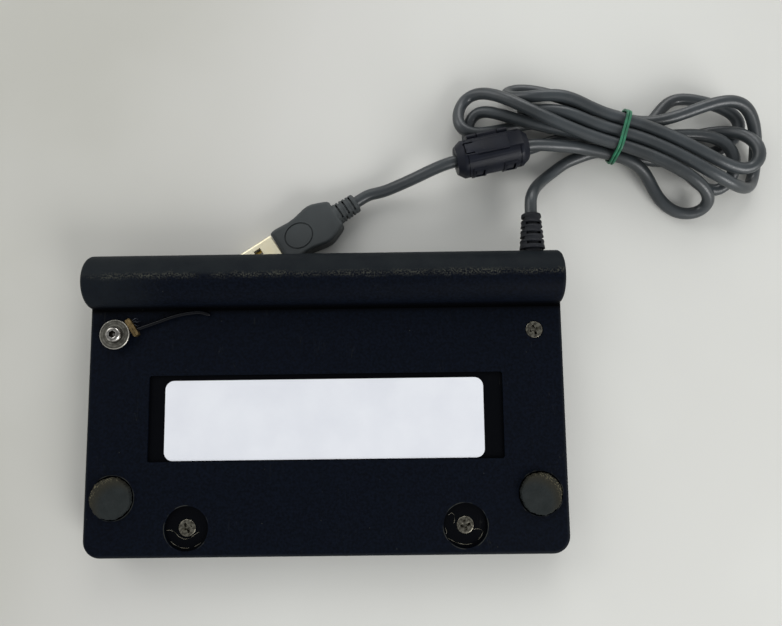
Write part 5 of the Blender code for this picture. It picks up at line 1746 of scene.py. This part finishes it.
@dataclass
class Tether:
    """Cut end of the pen's cord: a loop under the washer, a crimp and a stub."""

    screw: Spot = (-0.0672, 0.0221)
    height: float = 0.01305
    radius: float = 0.00055
    loop_radius: float = 0.00225
    loop_steps: int = 10
    crimp: Spot = (-0.0619, 0.0243)
    crimp_turn: float = 33.0
    crimp_size: Place = (0.0018, 0.0062, 0.0017)
    crimp_low: float = 0.0125
    seam_half: float = 0.00006
    seam_depth: float = 0.00012
    gap: float = 0.0003
    thread: float = 0.00009
    stub: tuple[Spot, ...] = (
        (-0.0545, 0.0258),
        (-0.0482, 0.0279),
        (-0.0430, 0.0289),
        (-0.0400, 0.0290),
        (-0.0370, 0.0281),
    )
    frayed: tuple[tuple[Spot, ...], ...] = (
        ((0.0, 0.2), (0.8, 0.9), (1.5, 1.1), (1.9, 0.7), (1.6, 0.2), (1.0, 0.3)),
        ((0.0, -0.3), (1.0, 0.0), (1.8, -0.2), (2.4, 0.3), (2.9, 0.1)),
        ((0.1, -0.8), (0.9, -0.9), (1.5, -1.3), (2.2, -1.4)),
    )

    def points(self) -> list[Vector]:
        """Middle line of the cord: round the screw, through the crimp, and out to its cut end.

        Returns:
            The points.
        """
        place = laid((*self.crimp, self.height), self.crimp_turn)
        x, y = self.screw
        half, spread = self.crimp_size[0] / 2, self.radius + self.gap
        straight = -half - self.gap - 2 * self.radius
        middle = math.degrees(math.atan2(self.crimp[1] - y, self.crimp[0] - x))
        bow = arc((x, y), self.loop_radius, middle + 60, middle + 300, self.loop_steps)
        ways = ((-half * 0.2, spread), (straight, spread))
        ways += ((straight, -spread), (-half * 0.2, -spread * 1.2), (half + 0.0014, -0.0016))
        start, leave, back, through, out = [place @ Vector((*way, 0)) for way in ways]
        bow, rest = ([Vector((*spot, self.height)) for spot in spots] for spots in (bow, self.stub))
        knots = [start, leave, *bow, back, through, out, *rest]
        heading = place.to_3x3() @ Vector((1, 0, 0))
        return smooth_route(knots, 0.001, 0.0005, -heading, (rest[-1] - rest[-2]).normalized())

    def swell(self, cord: Object, points: Sequence[Vector]) -> None:
        """Let the cord grow thicker past the crimp and towards its cut end, and taper at the cut.

        Args:
            cord: The cord's curve.
            points: Its middle line.
        """
        last = points[-1]
        for point, place in zip(cord.data.splines[0].points, points):
            left = (last - place).length
            past = min(1.0, max(0.0, (place.x - self.crimp[0]) / 0.002))
            grown = 1 + 0.15 * past + 0.33 * max(0.0, 1 - left / 0.014)
            point.radius = grown * min(1.0, 0.40 + left / 0.0014)

    def build(self) -> None:
        # soft brass under a brown tarnish, dull against the chrome beside it
        brass = Metal("pressed_brass_crimp", "#857250", "#4a3e28", roughness=0.50, stain_mm=1.5).build()
        # waxed cord, so black and smooth that only its highlight shows
        wax = {"roughness": 0.20, "specular": 0.16, "dust": "#39404c"}
        waxed = Plastic("waxed_black_cord", "#06080e", "#030407", **wax).build()
        # dry fibres of the same cord, greyer because they are fluffed up
        dry = Plastic("frayed_cord_threads", "#3b3f46", "#25282e", roughness=0.6, specular=0.3).build()
        long, wide, high = self.crimp_size
        lay = laid((*self.crimp, self.height), self.crimp_turn)
        low = self.crimp_low - self.height
        top = low + high
        crimp = Bench.plate("tether_crimp_sleeve", rounded((0, 0), (long, wide), long / 4, 5), low, top, lay)
        bottom = (-self.seam_half, -wide, top - self.seam_depth)
        seam = Bench.lay(Bench.box("seam", bottom, (self.seam_half, wide, top + 0.001)), lay)
        Bench.combine(crimp, "DIFFERENCE", [seam])
        Bench.soften(crimp, 0.00018, 3, 30)
        own(crimp, brass, ["tether_crimp"])
        root = lay @ Vector((long * 0.4, wide * 0.30, 0))
        own(draw_threads("frayed_tether_threads", root, self.thread, self.frayed), dry)
        points = self.points()
        cord = Bench.lines("tether_cord", [points], self.radius, 7)
        self.swell(cord, points)
        own(cord, waxed, ["tether_loop", "tether_stub"])


@dataclass
class Feet:
    """Two glued feet cut from rubber sheet, their rims nicked by use."""

    radius: float = 0.0066
    low: float = 0.0115
    high: float = 0.0139
    rim: float = 0.0011
    rise: float = 0.0001
    nick: float = 0.00016
    worn_share: float = 0.8

    def disc(self, name: str, x: float, y: float, seed: int) -> Object:
        """Model one foot: a turned disc whose rim is pulled in and out a little.

        Args:
            name: Name of the piece.
            x: Sideways place.
            y: Depthwise place.
            seed: Shifts the pattern of the nicks.

        Returns:
            The foot.
        """
        flat, radius = self.high - self.rise, self.radius
        profile = [
            (self.low, 0),
            (self.low, radius - 0.0001),
            (self.low + 0.0001, radius),
            (flat - 0.00045, radius),
            (flat - 0.00020, radius - 0.00005),
            (self.high - 0.00004, radius - 0.00022),
            (self.high, radius - 0.00045),
            (self.high - 0.00002, radius - self.rim),
            (flat, radius - 2 * self.rim),
            (flat, radius * 0.3),
            (flat, 0),
        ]
        foot = Bench.turned(name, profile, steps=144)
        form = bmesh.new()
        form.from_mesh(foot.data)
        for vert in form.verts:
            if math.hypot(vert.co.x, vert.co.y) > radius * self.worn_share:
                angle = math.atan2(vert.co.y, vert.co.x)
                waves = math.sin(7 * angle + seed) + math.sin(17 * angle + 2 * seed) + math.sin(41 * angle)
                pull = 1 - self.nick * (1.5 + waves / 2) / radius
                vert.co.x *= pull
                vert.co.y *= pull
        form.to_mesh(foot.data)
        form.free()
        Bench.shade(foot, 50)
        return Bench.lay(foot, laid((x, y, 0)))

    def build(self, housing: Housing) -> None:
        """Model both feet.

        Args:
            housing: The pad's covers.
        """
        for seed, (name, side) in enumerate((("rubber_foot_left", -1), ("rubber_foot_right", 1)), 1):
            x, y = side * housing.foot[0], housing.foot[1]
            rubber = WornRubber(f"die_cut_{name}", (x, y), self.radius, (side * 0.35, 0.35)).build()
            own(self.disc(f"{name}_pad", x, y, seed), rubber, [name])


@dataclass
class Glue:
    """Threads of dried glue that the two lost feet left in their recesses."""

    floor: float = 0.0112
    thread: float = 0.00007
    left: tuple[tuple[Spot, ...], ...] = (
        (
            (-6.4, -0.6),
            (-5.0, -0.7),
            (-3.6, -1.4),
            (-2.4, -2.6),
            (-0.6, -3.3),
            (1.2, -2.9),
            (2.6, -1.9),
            (3.9, -1.2),
        ),
        ((-5.0, -4.0), (-3.9, -4.9), (-2.2, -5.7), (-0.6, -6.1), (0.8, -6.0)),
        ((2.4, -5.7), (3.6, -5.1), (4.5, -4.3)),
    )
    right: tuple[tuple[Spot, ...], ...] = (
        ((-5.2, 3.0), (-4.4, 3.7), (-3.6, 3.2), (-3.3, 1.8), (-3.6, 0.6)),
        ((2.6, -1.4), (4.0, -1.2), (5.4, -1.9), (4.9, -3.2), (4.0, -4.5)),
        ((-5.4, -4.0), (-3.8, -4.9), (-1.8, -5.6), (0.4, -5.9), (2.2, -5.5)),
        ((-6.3, -0.8), (-5.9, -2.0), (-6.1, -2.7)),
    )

    def build(self, housing: Housing) -> None:
        """Model the glue in both bare recesses.

        Args:
            housing: The pad's covers.
        """
        # clear glue gone yellow, half see-through, so it shows as thin pale strings
        glue = Clear("dried_clear_glue", "#7b7767", roughness=0.25, ior=1.5, transmission=0.5).build()
        x, y = housing.bare
        for name, at, routes in (("dried_glue_left", -x, self.left), ("dried_glue_right", x, self.right)):
            own(draw_threads(name, (at, y, self.floor), self.thread, routes), glue)


@dataclass
class Label:
    """Blank paper sticker with round corners."""

    size: Spot = (0.1016, 0.0252)
    middle: Spot = (-0.0005, -0.0055)
    low: float = 0.0116
    thick: float = 0.00025
    corner: float = 0.0028

    def build(self) -> None:
        """Model the sticker."""
        # coated paper, a cold white that is all but even
        coated = {"roughness": 0.75, "specular": 0.25, "deep_mm": 0.004}
        paper = Plastic("coated_white_paper_label", "#dfe1e6", "#d9dbe1", **coated).build()
        outline = rounded(self.middle, self.size, self.corner, 10)
        sticker = Bench.plate("blank_paper_label", outline, self.low, self.low + self.thick)
        Bench.soften(sticker, 0.00005, 2, 30)
        own(sticker, paper, ["label_blank"])


@dataclass(frozen=True)
class Relief:
    """Strain relief: a cone with ring grooves, each bridged at its sides or its middle by turns."""

    start: float
    stop: float
    first: float
    last: float
    count: int
    width: float
    depth: float
    open_half: float
    steps: int = 48

    def rings(self) -> list[Spot]:
        """Place the grooves.

        Returns:
            Middle and outer radius of each.
        """
        shares = [(i + 1) / (self.count + 1) for i in range(self.count)]
        span, taper = self.stop - self.start, self.last - self.first
        return [(self.start + span * share, self.first + taper * share) for share in shares]

    def profile(self) -> list[Spot]:
        """Draw the cone past its start, the edges of its grooves rounded.

        Returns:
            Points of (along, radius).
        """
        half, soft = self.width / 2, self.width * 0.22
        points = []
        for middle, out in self.rings():
            steps = ((half + soft, 0), (half + soft * 0.3, soft * 0.3), (half, soft), (half, self.depth))
            points += [(middle - along, out - down) for along, down in steps]
            points += [(middle + along, out - down) for along, down in steps[::-1]]
        return [*points, (self.stop, self.last)]

    def bridge(self, piece: Object, axis: Matrix) -> None:
        """Fill parts of each groove, so that its slots lie in the middle and at the sides by turns.

        Args:
            piece: The ribbed solid.
            axis: Where its axis lies.
        """
        far = 2 * self.first
        for i, (middle, out) in enumerate(self.rings()):
            near, end = middle - self.width * 0.8, middle + self.width * 0.8
            full = out - self.depth * 0.10
            fill = Bench.turned("fill", [(near, 0), (near, full), (end, full), (end, 0)], steps=self.steps)
            half = out * 0.72 if i % 2 else self.open_half
            slab = Bench.box("slab", (-far, -half, near - self.width), (far, half, end + self.width))
            Bench.combine(fill, "INTERSECT" if i % 2 else "DIFFERENCE", [slab])
            Bench.combine(piece, "UNION", [Bench.lay(fill, axis)])


@dataclass
class Boot:
    """Ribbed rubber strain relief where the cable leaves the pad."""

    x: float = 0.0675
    z: float = 0.0125
    rear: float = 0.0478
    gap: float = 0.0003
    base: float = 0.0041
    tip: float = 0.0031
    length: float = 0.0120
    neck: float = 0.0030
    neck_length: float = 0.0037
    flange: float = 0.0038
    flange_length: float = 0.0015
    flat_z: float = 0.0112
    groove: Place = (0.00085, 0.0011, 0.0023)
    grooves: int = 6
    bore: float = 0.00206
    bore_depth: float = 0.0017

    def build(self) -> Object:
        """Model the boot.

        Returns:
            The boot.
        """
        # matt moulded rubber, a little browner than the cable, with dust in its ribs
        matt = {"roughness": 0.55, "specular": 0.2, "dust_share": 0.3}
        rubber = Plastic("moulded_black_rubber_boot", "#1a1c21", "#111317", **matt).build()
        root, inside = self.rear + self.gap, self.rear - self.neck_length
        end = root + self.length
        cone = (end - 0.0004, self.base, self.tip, self.grooves, *self.groove)
        ribs, bridges = Relief(root + 0.0002, *cone), Relief(root, *cone)
        profile = [
            (inside - self.flange_length, 0),
            (inside - self.flange_length, self.flange),
            (inside, self.flange),
            (inside, self.neck),
            (root, self.neck),
            (root, self.base - 0.0003),
            (ribs.start, self.base),
            *ribs.profile(),
            (end - 0.0003, self.tip - 0.00015),
            (end - 0.0001, self.tip - 0.0004),
            (end, self.tip - 0.0007),
            (end, self.bore),
            (end - self.bore_depth, self.bore),
            (end - self.bore_depth, 0),
        ]
        axis = laid((self.x, 0, self.z), -90, "X") @ laid((0, 0, 0), 90)
        boot = Bench.turned("cable_boot_ribbed", profile, axis, 72)
        bridges.bridge(boot, axis)
        reach = self.flange + 0.002
        low = (self.x - reach, inside - self.flange_length - 0.002, self.z - 0.008)
        flat = Bench.box("flat", low, (self.x + reach, inside + self.gap, self.flat_z))
        Bench.combine(boot, "DIFFERENCE", [flat])
        Bench.soften(boot, 0.00014, 2, 38)
        return own(boot, rubber, ["cable_boot"])


@dataclass
class Band:
    """Thin green elastic band, doubled round the waist of the hank."""

    width: float = 0.0019
    thick: float = 0.0009
    gap: float = 0.0003
    overlap: float = 0.00001
    corner_steps: int = 8
    order: tuple[str, ...] = ("low_front", "low_rear", "mid_rear", "top_rear", "top_front", "mid_front")

    def ring(self, cable: Cable, shift: float) -> list[Vector]:
        """Middle line of one strand round the waist, in the hank's frame.

        Args:
            cable: The cable.
            shift: Place of the strand along the waist.

        Returns:
            The points.
        """
        corners = [Vector(cable.slot(name)) for name in self.order]
        out_by = cable.radius + self.gap + self.thick / 2
        points = []
        for before, corner, after in zip(corners[-1:] + corners, corners, corners[1:] + corners[:1]):
            first, last = (Vector((way.y, -way.x)).normalized() for way in (corner - before, after - corner))
            for i in range(self.corner_steps + 1):
                out = (first + (last - first) * i / self.corner_steps).normalized()
                place = corner + out * out_by
                points.append(Vector((shift, place.x, place.y)))
        return points

    def build(self, cable: Cable) -> Object:
        """Model the two strands side by side.

        Args:
            cable: The cable.

        Returns:
            The band.
        """
        # dipped latex: an even deep green with a soft sheen, slightly blotched where it is stretched
        latex = Plastic(
            "green_latex_band", "#237553", "#17543b", roughness=0.42, tone_mm=3.0, dust_share=0.1
        ).build()
        strands = []
        for share in (-0.25, 0.25):
            points = self.ring(cable, share * self.width)
            drawn = Bench.lines("band_strand", [points], self.thick / 2 + self.overlap, 4, closed=True)
            strands.append(Bench.as_mesh(drawn))
        band = strands[0]
        band.name = band.data.name = "green_rubber_band"
        Bench.combine(band, "UNION", strands[1:])
        Bench.lay(band, cable.hank_frame())
        Bench.shade(band, 40)
        return own(band, latex, ["rubber_band"])


@dataclass
class Clamp:
    """Snap-on ferrite clamp: two case halves with a hinge and two latches.

    Each panel on the lid is (near, far, width, rise above the sleeve) and each notch in it is
    (near, far, right, left), along and across the clamp from its middle.
    """

    place: Place = (0.05525, 0.0812, 0.01095)
    turn: float = 11.7
    length: float = 0.0240
    radius: float = 0.0062
    tip: float = 0.0046
    taper: float = 0.0022
    line_inset: float = 0.0009
    line_width: float = 0.0004
    line_depth: float = 0.00025
    wall: float = 0.0009
    end_wall: float = 0.0024
    bore: float = 0.00235
    gap: float = 0.0003
    hinge_y: float = 0.0071
    hinge_radius: float = 0.0010
    hinge_length: float = 0.0140
    hinge_shares: Place = (0.25, 0.5, 0.25)
    latch_x: float = 0.0052
    latch_width: float = 0.0044
    latch_low: float = -0.0036
    latch_high: float = 0.0022
    latch_root: float = 0.0016
    latch_proud: float = 0.0004
    window_share: float = 0.72
    window_edge: float = 0.0008
    tab_share: float = 0.52
    tab_edge: float = 0.0012
    tooth_height: float = 0.0012
    strip_turn: float = 76.0
    above: float = 0.001
    panels: tuple[tuple[float, float, float, float], ...] = (
        (-0.0094, 0.0098, 0.0048, -0.0001),
        (0.0054, 0.0098, 0.0050, 0.0),
    )
    notches: tuple[tuple[float, float, float, float], ...] = (
        (-0.0054, 0.0050, 0.0025, 0.0030),
        (-0.0096, -0.0062, -0.0022, -0.0017),
        (-0.0096, -0.0062, 0.0017, 0.0022),
        (-0.0096, -0.0090, -0.0022, 0.0022),
        (-0.0070, -0.0060, -0.0036, -0.0026),
        (0.0086, 0.0096, -0.0040, -0.0028),
    )

    def frame(self) -> Matrix:
        """Place and heading of the clamp."""
        return laid(self.place, self.turn)

    def half(self, name: str, upper: bool) -> Object:
        """Model one half of the case's sleeve.

        Args:
            name: Name of the piece.
            upper: Whether it is the lid.

        Returns:
            The half, in the clamp's own frame.
        """
        end, shoulder = self.length / 2, self.length / 2 - self.taper
        line, floor = shoulder - self.line_inset, self.radius - self.line_depth
        profile = [
            (-end, self.bore),
            (-end, self.tip),
            (-shoulder - 0.0002, self.radius - 0.0001),
            (-shoulder, self.radius),
            (-line, self.radius),
            (-line, floor),
            (-line + self.line_width, floor),
            (-line + self.line_width, self.radius),
        ]
        profile += [(-along, radius) for along, radius in profile[::-1]]
        hollow, inside = self.radius - self.wall, end - self.end_wall
        profile += [(inside, self.bore), (inside, hollow), (-inside, hollow), (-inside, self.bore)]
        sleeve = Bench.turned(name, profile, laid((0, 0, 0), 90, "Y"), 96)
        far, split = self.length, self.gap / 2
        low, high = (-far, split) if upper else (-split, far)
        Bench.combine(sleeve, "DIFFERENCE", [Bench.box("slab", (-far, -far, low), (far, far, high))])
        return sleeve

    def hinge(self, halves: dict[bool, Object]) -> None:
        """Add the knuckles of the hinge, the middle one on the lid.

        Args:
            halves: Base and lid, by whether each is the upper half.
        """
        y, start = self.hinge_y, -self.hinge_length / 2
        for i, share in enumerate(self.hinge_shares):
            stop = start + self.hinge_length * share
            upper = i == 1
            low, high = start + self.gap / 2, stop - self.gap / 2
            room = Bench.rod("room", self.hinge_radius + self.gap, (start, y, 0), (stop, y, 0), 40)
            Bench.combine(halves[not upper], "DIFFERENCE", [room])
            side = 1 if upper else -1
            heights = sorted((side * self.gap, side * self.hinge_radius * 0.9))
            web = Bench.box("web", (low, self.radius - self.wall / 2, heights[0]), (high, y, heights[1]))
            knuckle = Bench.rod("knuckle", self.hinge_radius, (low, y, 0), (high, y, 0), 40)
            Bench.combine(halves[upper], "UNION", [web, knuckle])
            start = stop

    def sector(self, name: str, x: float, half: float, radii: Spot, heights: Spot) -> Object:
        """Model a piece of ring on the clamp's front side.

        Args:
            name: Name of the piece.
            x: Middle along the clamp.
            half: Half its width.
            radii: Inner and outer radius.
            heights: Lowest and highest height.

        Returns:
            The piece of ring, in the clamp's own frame.
        """
        (inner, outer), (low, high) = radii, heights
        profile = [(x - half, inner), (x - half, outer), (x + half, outer), (x + half, inner)]
        ring = Bench.turned(name, profile, laid((0, 0, 0), 90, "Y"), 96)
        keep = Bench.box("keep", (x - 2 * half, -2 * outer, low), (x + 2 * half, 0, high))
        Bench.combine(ring, "INTERSECT", [keep])
        return ring

    def latches(self, halves: dict[bool, Object]) -> None:
        """Add the lid's two windowed latches, and the base's tabs that snap into them.

        Args:
            halves: Base and lid, by whether each is the upper half.
        """
        lid, base = halves[True], halves[False]
        half, gap, low, high = self.latch_width / 2, self.gap, self.latch_low, self.latch_high
        skin, proud = self.radius - self.wall * 0.55, self.radius + self.latch_proud
        edge, tab_low = self.window_edge, low + self.tab_edge
        for side in (-1, 1):
            x = side * self.latch_x
            room = self.sector("room", x, half + gap, (skin - gap, proud + gap), (low - gap, gap))
            Bench.combine(base, "DIFFERENCE", [room])
            strap = self.sector("strap", x, half, (skin, proud), (low, high + self.latch_root))
            Bench.combine(lid, "UNION", [strap])
            radii = (skin - self.above, proud + self.above)
            window = self.sector("window", x, half * self.window_share, radii, (low + edge, high + edge))
            Bench.combine(lid, "DIFFERENCE", [window])
            narrow = half * self.tab_share
            tab = self.sector("tab", x, narrow, (skin - 0.0007, skin + 0.0003), (tab_low, high + 0.0002))
            heights = (tab_low, tab_low + self.tooth_height)
            tooth = self.sector("tooth", x, narrow, (skin, proud - 0.0001), heights)
            Bench.combine(base, "UNION", [tab, tooth])

    def strip(self, lid: Object) -> None:
        """Add the raised flat panel along the lid, its end step, and the notches at its ends.

        Args:
            lid: The lid.
        """
        turn, low = laid((0, 0, 0), self.strip_turn, "X"), self.radius - self.wall
        for near, far, width, rise in self.panels:
            top, side, clear = self.radius + rise, width / 2, width / 2 + 0.0001
            raised = Bench.box("panel", (near, low, -side), (far, top, side))
            Bench.combine(lid, "UNION", [Bench.lay(raised, turn)])
            air = Bench.box("air", (near, top, -clear), (far, top + 2 * self.above, clear))
            Bench.combine(lid, "DIFFERENCE", [Bench.lay(air, turn)])
        cuts = [
            Bench.box("notch", (near, low, right), (far, self.radius + self.above, left))
            for near, far, right, left in self.notches
        ]
        Bench.combine(lid, "DIFFERENCE", [Bench.lay(cut, turn) for cut in cuts])

    def build(self) -> list[Object]:
        """Model the two halves.

        Returns:
            The base and the lid.
        """
        # moulded nylon: satin black with a cold cast, so its edges catch a thin line of light
        nylon = Plastic(
            "moulded_black_nylon_clamp", "#171a24", "#101219", roughness=0.40, specular=0.16, dust_share=0.15
        ).build()
        base, lid = self.half("ferrite_case_base_shell", False), self.half("ferrite_case_lid_shell", True)
        halves = {False: base, True: lid}
        self.hinge(halves)
        self.latches(halves)
        self.strip(lid)
        for half in (base, lid):
            Bench.soften(half, 0.00014, 2, 32)
            Bench.lay(half, self.frame())
        return [
            own(base, nylon, ["ferrite_case_base"]),
            own(lid, nylon, ["ferrite_case_lid"], Body.CLAMP_LID),
        ]


@dataclass
class Plug:
    """Plug: moulded grip with its ribbed relief, and the metal shell.

    A station is a share of the grip's length and its whole width there; the oval is its place
    along the plug, length, width and depth; a slot is near, far, sideways place and half width.
    """

    place: Place = (0.0030, 0.0630, 0.0039)
    turn: float = 32.5
    length: float = 0.0225
    thick: float = 0.0074
    round_by: float = 0.0011
    stations: tuple[Spot, ...] = (
        (0.0, 0.0086),
        (0.02, 0.0098),
        (0.06, 0.0108),
        (0.14, 0.0124),
        (0.24, 0.0141),
        (0.31, 0.0146),
        (0.38, 0.0144),
        (0.48, 0.0134),
        (0.58, 0.0125),
        (0.68, 0.0122),
        (0.80, 0.0126),
        (0.90, 0.0129),
        (0.96, 0.0127),
        (0.99, 0.0120),
        (1.0, 0.0112),
    )
    relief_length: float = 0.0080
    relief_radius: float = 0.0036
    relief_root: float = 0.0030
    relief_taper: float = 0.92
    relief_groove: Place = (0.00055, 0.0011, 0.0025)
    relief_grooves: int = 5
    bore: float = 0.00206
    bore_depth: float = 0.0017
    oval: tuple[float, float, float, float] = (-0.0147, 0.0100, 0.0088, 0.00045)
    oval_line: float = 0.00045
    oval_steps: int = 60
    shell_length: float = 0.0120
    shell_width: float = 0.0120
    shell_height: float = 0.0045
    shell_gap: float = 0.0003
    sheet: float = 0.0004
    slot: tuple[float, float, float, float] = (0.0052, 0.0077, 0.0028, 0.00125)
    over: float = 0.002

    def frame(self) -> Matrix:
        """Place and heading of the plug, its X along the cable."""
        return laid(self.place, self.turn)

    def relief(self) -> Object:
        """Model the ribbed relief that the cable leaves by.

        Returns:
            The relief.
        """
        end, tip, along = self.relief_length, self.relief_radius * self.relief_taper, laid((0, 0, 0), 90, "Y")
        ribs = Relief(0.0, end - 0.0005, self.relief_radius, tip, self.relief_grooves, *self.relief_groove)
        profile = [
            (-self.relief_root, 0),
            (-self.relief_root, self.relief_radius),
            *ribs.profile(),
            (end - 0.0002, tip - 0.0002),
            (end, tip - 0.0007),
            (end, self.bore),
            (end - self.bore_depth, self.bore),
            (end - self.bore_depth, 0),
        ]
        relief = Bench.turned("relief", profile, along)
        ribs.bridge(relief, along)
        return relief

    def grip(self) -> Object:
        """Model the grip, with its relief and the sunk oval line on its top.

        Returns:
            The grip.
        """
        # vinyl moulded over the plug: matt, and lighter than the smooth jacket
        vinyl = Plastic(
            "moulded_grey_vinyl_grip", "#3d4142", "#343839", roughness=0.55, specular=0.3
        ).build()
        right = [(-self.length * share, width / 2) for share, width in self.stations]
        half, near = self.thick / 2, 1e-5
        grip = Bench.plate("plug_grip", right + [(x, -y) for x, y in right[::-1]], -half, half)
        Bench.round_edges(
            grip, self.round_by, 5, lambda a, b: abs(a.z - b.z) < near and abs(a.z) > half - near
        )
        Bench.combine(grip, "UNION", [self.relief()])
        x, long, wide, deep = self.oval
        rings = []
        for name, inset in (("oval", 0.0), ("island", self.oval_line)):
            reach, side = long / 2 - inset, wide / 2 - inset
            angles = [math.tau * i / self.oval_steps for i in range(self.oval_steps)]
            ring = [(x + reach * math.cos(a), side * math.sin(a)) for a in angles]
            rings.append(Bench.plate(name, ring, half - deep - 4 * inset, half + self.over + inset))
        Bench.combine(rings[0], "DIFFERENCE", rings[1:])
        Bench.combine(grip, "DIFFERENCE", rings[:1])
        Bench.soften(grip, 0.00012, 2, 38)
        return own(Bench.lay(grip, self.frame()), vinyl, ["plug_overmould"])

    def shell(self) -> Object:
        """Model the metal shell, open at its front, with its latch holes.

        Returns:
            The shell.
        """
        # folded steel plated a warm pale metal, brushed dull by use
        steel = Metal(
            "plated_folded_shell_steel", "#fdf6dc", "#f8eecd", roughness=0.45, stain_mm=8.0
        ).build()
        back, wide, high = -self.length - self.shell_gap, self.shell_width, self.shell_height
        lay = laid((back, 0, 0), -90, "Y")
        outer = rounded((0, 0), (high, wide), 0.0008, 6)
        shell = Bench.plate("plug_shell_folded", outer, 0, self.shell_length, lay)
        hollow = rounded((0, 0), (high - 2 * self.sheet, wide - 2 * self.sheet), 0.0004, 4)
        cuts = [Bench.plate("hollow", hollow, -self.over, self.shell_length + self.over, lay)]
        near, far, aside, half = self.slot
        top = high / 2 + self.over
        for side in (-1, 1):
            y = side * aside
            cuts.append(Bench.box("slot", (back - far, y - half, -top), (back - near, y + half, top)))
        Bench.combine(shell, "DIFFERENCE", cuts)
        Bench.soften(shell, 0.00008, 2, 32)
        return own(Bench.lay(shell, self.frame()), steel, ["plug_shell"])


class Inside:
    """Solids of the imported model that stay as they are, each with its own finish."""

    @staticmethod
    def finishes() -> dict[str, Material]:
        """Build the finishes of the inner solids.

        Returns:
            The finish of each, by its name.
        """
        # zinc plated and unworn, brighter than the case screws
        screw = Metal("zinc_plated_board_screw", "#a9a79f", "#7d7a72", roughness=0.35).build()
        # undyed nylon, the cream of new connector housings
        nylon = Plastic("moulded_natural_nylon", "#e2dac2", "#d8cfb4", roughness=0.45).build()
        # fired ceramic: dark, dry and finely grained
        ferrite = Plastic(
            "sintered_ferrite", "#2c2b2d", "#222123", roughness=0.7, grain_mm=0.2, deep_mm=0.03
        ).build()
        # thin gold over bronze, smooth and warm
        pins = Metal("gold_plated_bronze", "#d9b860", "#c09c48", roughness=0.25).build()
        found = {
            # cast acrylic, clear with a faint green cast
            "display_window": Clear("cast_acrylic_window", "#e9eeeb").build(),
            # cut open-cell foam: black, rough and without any sheen
            "lcd_gasket": Plastic(
                "die_cut_black_foam", "#1b1c1e", "#121315", roughness=0.9, grain_mm=0.5, deep_mm=0.1
            ).build(),
            # tinned sheet, pressed: grey with a blurred reflection
            "lcd_bezel": Metal("pressed_tinplate_bezel", "#b9bbbb", "#a3a5a5", roughness=0.32).build(),
            # glass under a polariser: smooth, the green grey of an unlit display
            "lcd_glass": Plastic(
                "polarised_display_glass", "#6e7a5e", "#687458", roughness=0.12, tone_mm=40.0, deep_mm=0.001
            ).build(),
            # acrylic with a milky fill, white and glossy
            "backlight_guide": Plastic(
                "milky_acrylic_light_guide", "#dfe3de", "#d6dad4", roughness=0.3
            ).build(),
            # solder mask over glass cloth, with the tracks' relief
            "sensor_board": Board("glass_epoxy_sensor_board").build(),
            # rolled aluminium, light and half bright
            "sensor_shield": Metal("rolled_aluminium_shield", "#c4c6c8", "#aeb0b2", roughness=0.3).build(),
            # the same board under a darker mask
            "main_board": Board("glass_epoxy_main_board", colour="#0f4228", track="#19663a").build(),
            # moulded epoxy, matt with the fine grain of its mould
            "controller_chip": Plastic(
                "moulded_black_epoxy", "#1a1b1d", "#131416", roughness=0.55, grain_mm=0.15
            ).build(),
            # copper stripes that show through amber film
            "lcd_ribbon": Ribbon().build(),
            # extruded vinyl wire, black with a soft gloss
            "inner_lead": Plastic(
                "extruded_black_wire_jacket", "#1d1f22", "#16181a", roughness=0.4
            ).build(),
            # moulded white plastic, cold and satin
            "plug_tongue": Plastic(
                "moulded_white_contact_block", "#e4e5e2", "#dadbd8", roughness=0.4
            ).build(),
        }
        found |= {name: nylon for name in ("usb_header", "ribbon_connector")}
        found |= {name: ferrite for name in ("ferrite_core_lower", "ferrite_core_upper")}
        found |= {f"board_screw_{i}": screw for i in range(1, 5)}
        found |= {f"plug_contact_{i}": pins for i in range(1, 5)}
        return found

    @staticmethod
    def build() -> None:
        """Put the finishes on the solids."""
        for name, finish in Inside.finishes().items():
            for slot in bpy.data.objects[name].material_slots:
                slot.material = finish


def build_cable() -> None:
    # extruded vinyl: dark slate, smooth enough for one long highlight, dusty between the folds
    vinyl = Plastic(
        "extruded_grey_vinyl_jacket",
        "#363b3e",
        "#2a2e30",
        roughness=0.34,
        specular=0.5,
        grain_mm=0.5,
        deep_mm=0.01,
        dust_share=0.3,
    ).build()
    cable, clamp, plug = Cable(), Clamp(), Plug()
    jacket = cable.build(clamp, plug, vinyl)
    pieces = [Boot().build(), Band().build(cable), *clamp.build(), plug.grip(), plug.shell()]
    inner = ["ferrite_core_lower", "ferrite_core_upper", "plug_tongue"]
    inner += [f"plug_contact_{i}" for i in range(1, 5)]
    pieces += [bpy.data.objects[name] for name in inner]


def build_pad() -> None:
    """Build the pad's housing and all that is fixed to it."""
    housing = Housing()
    shell = WornShell().build()
    Tether().build()
    housing.build_bottom(shell)
    housing.build_top(shell)
    Feet().build(housing)
    Glue().build(housing)
    Label().build()
    Fasteners().build(housing)


def main() -> None:
    """Build the studio, the cable and every piece of the pad."""
    logging.basicConfig(level=logging.INFO, format="%(name)s: %(message)s")
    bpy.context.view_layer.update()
    bpy.context.scene.view_settings.view_transform = "Standard"
    Viewpoint().build()
    Surround().build()
    build_cable()
    build_pad()
    Inside.build()


if __name__ == "__main__":
    main()
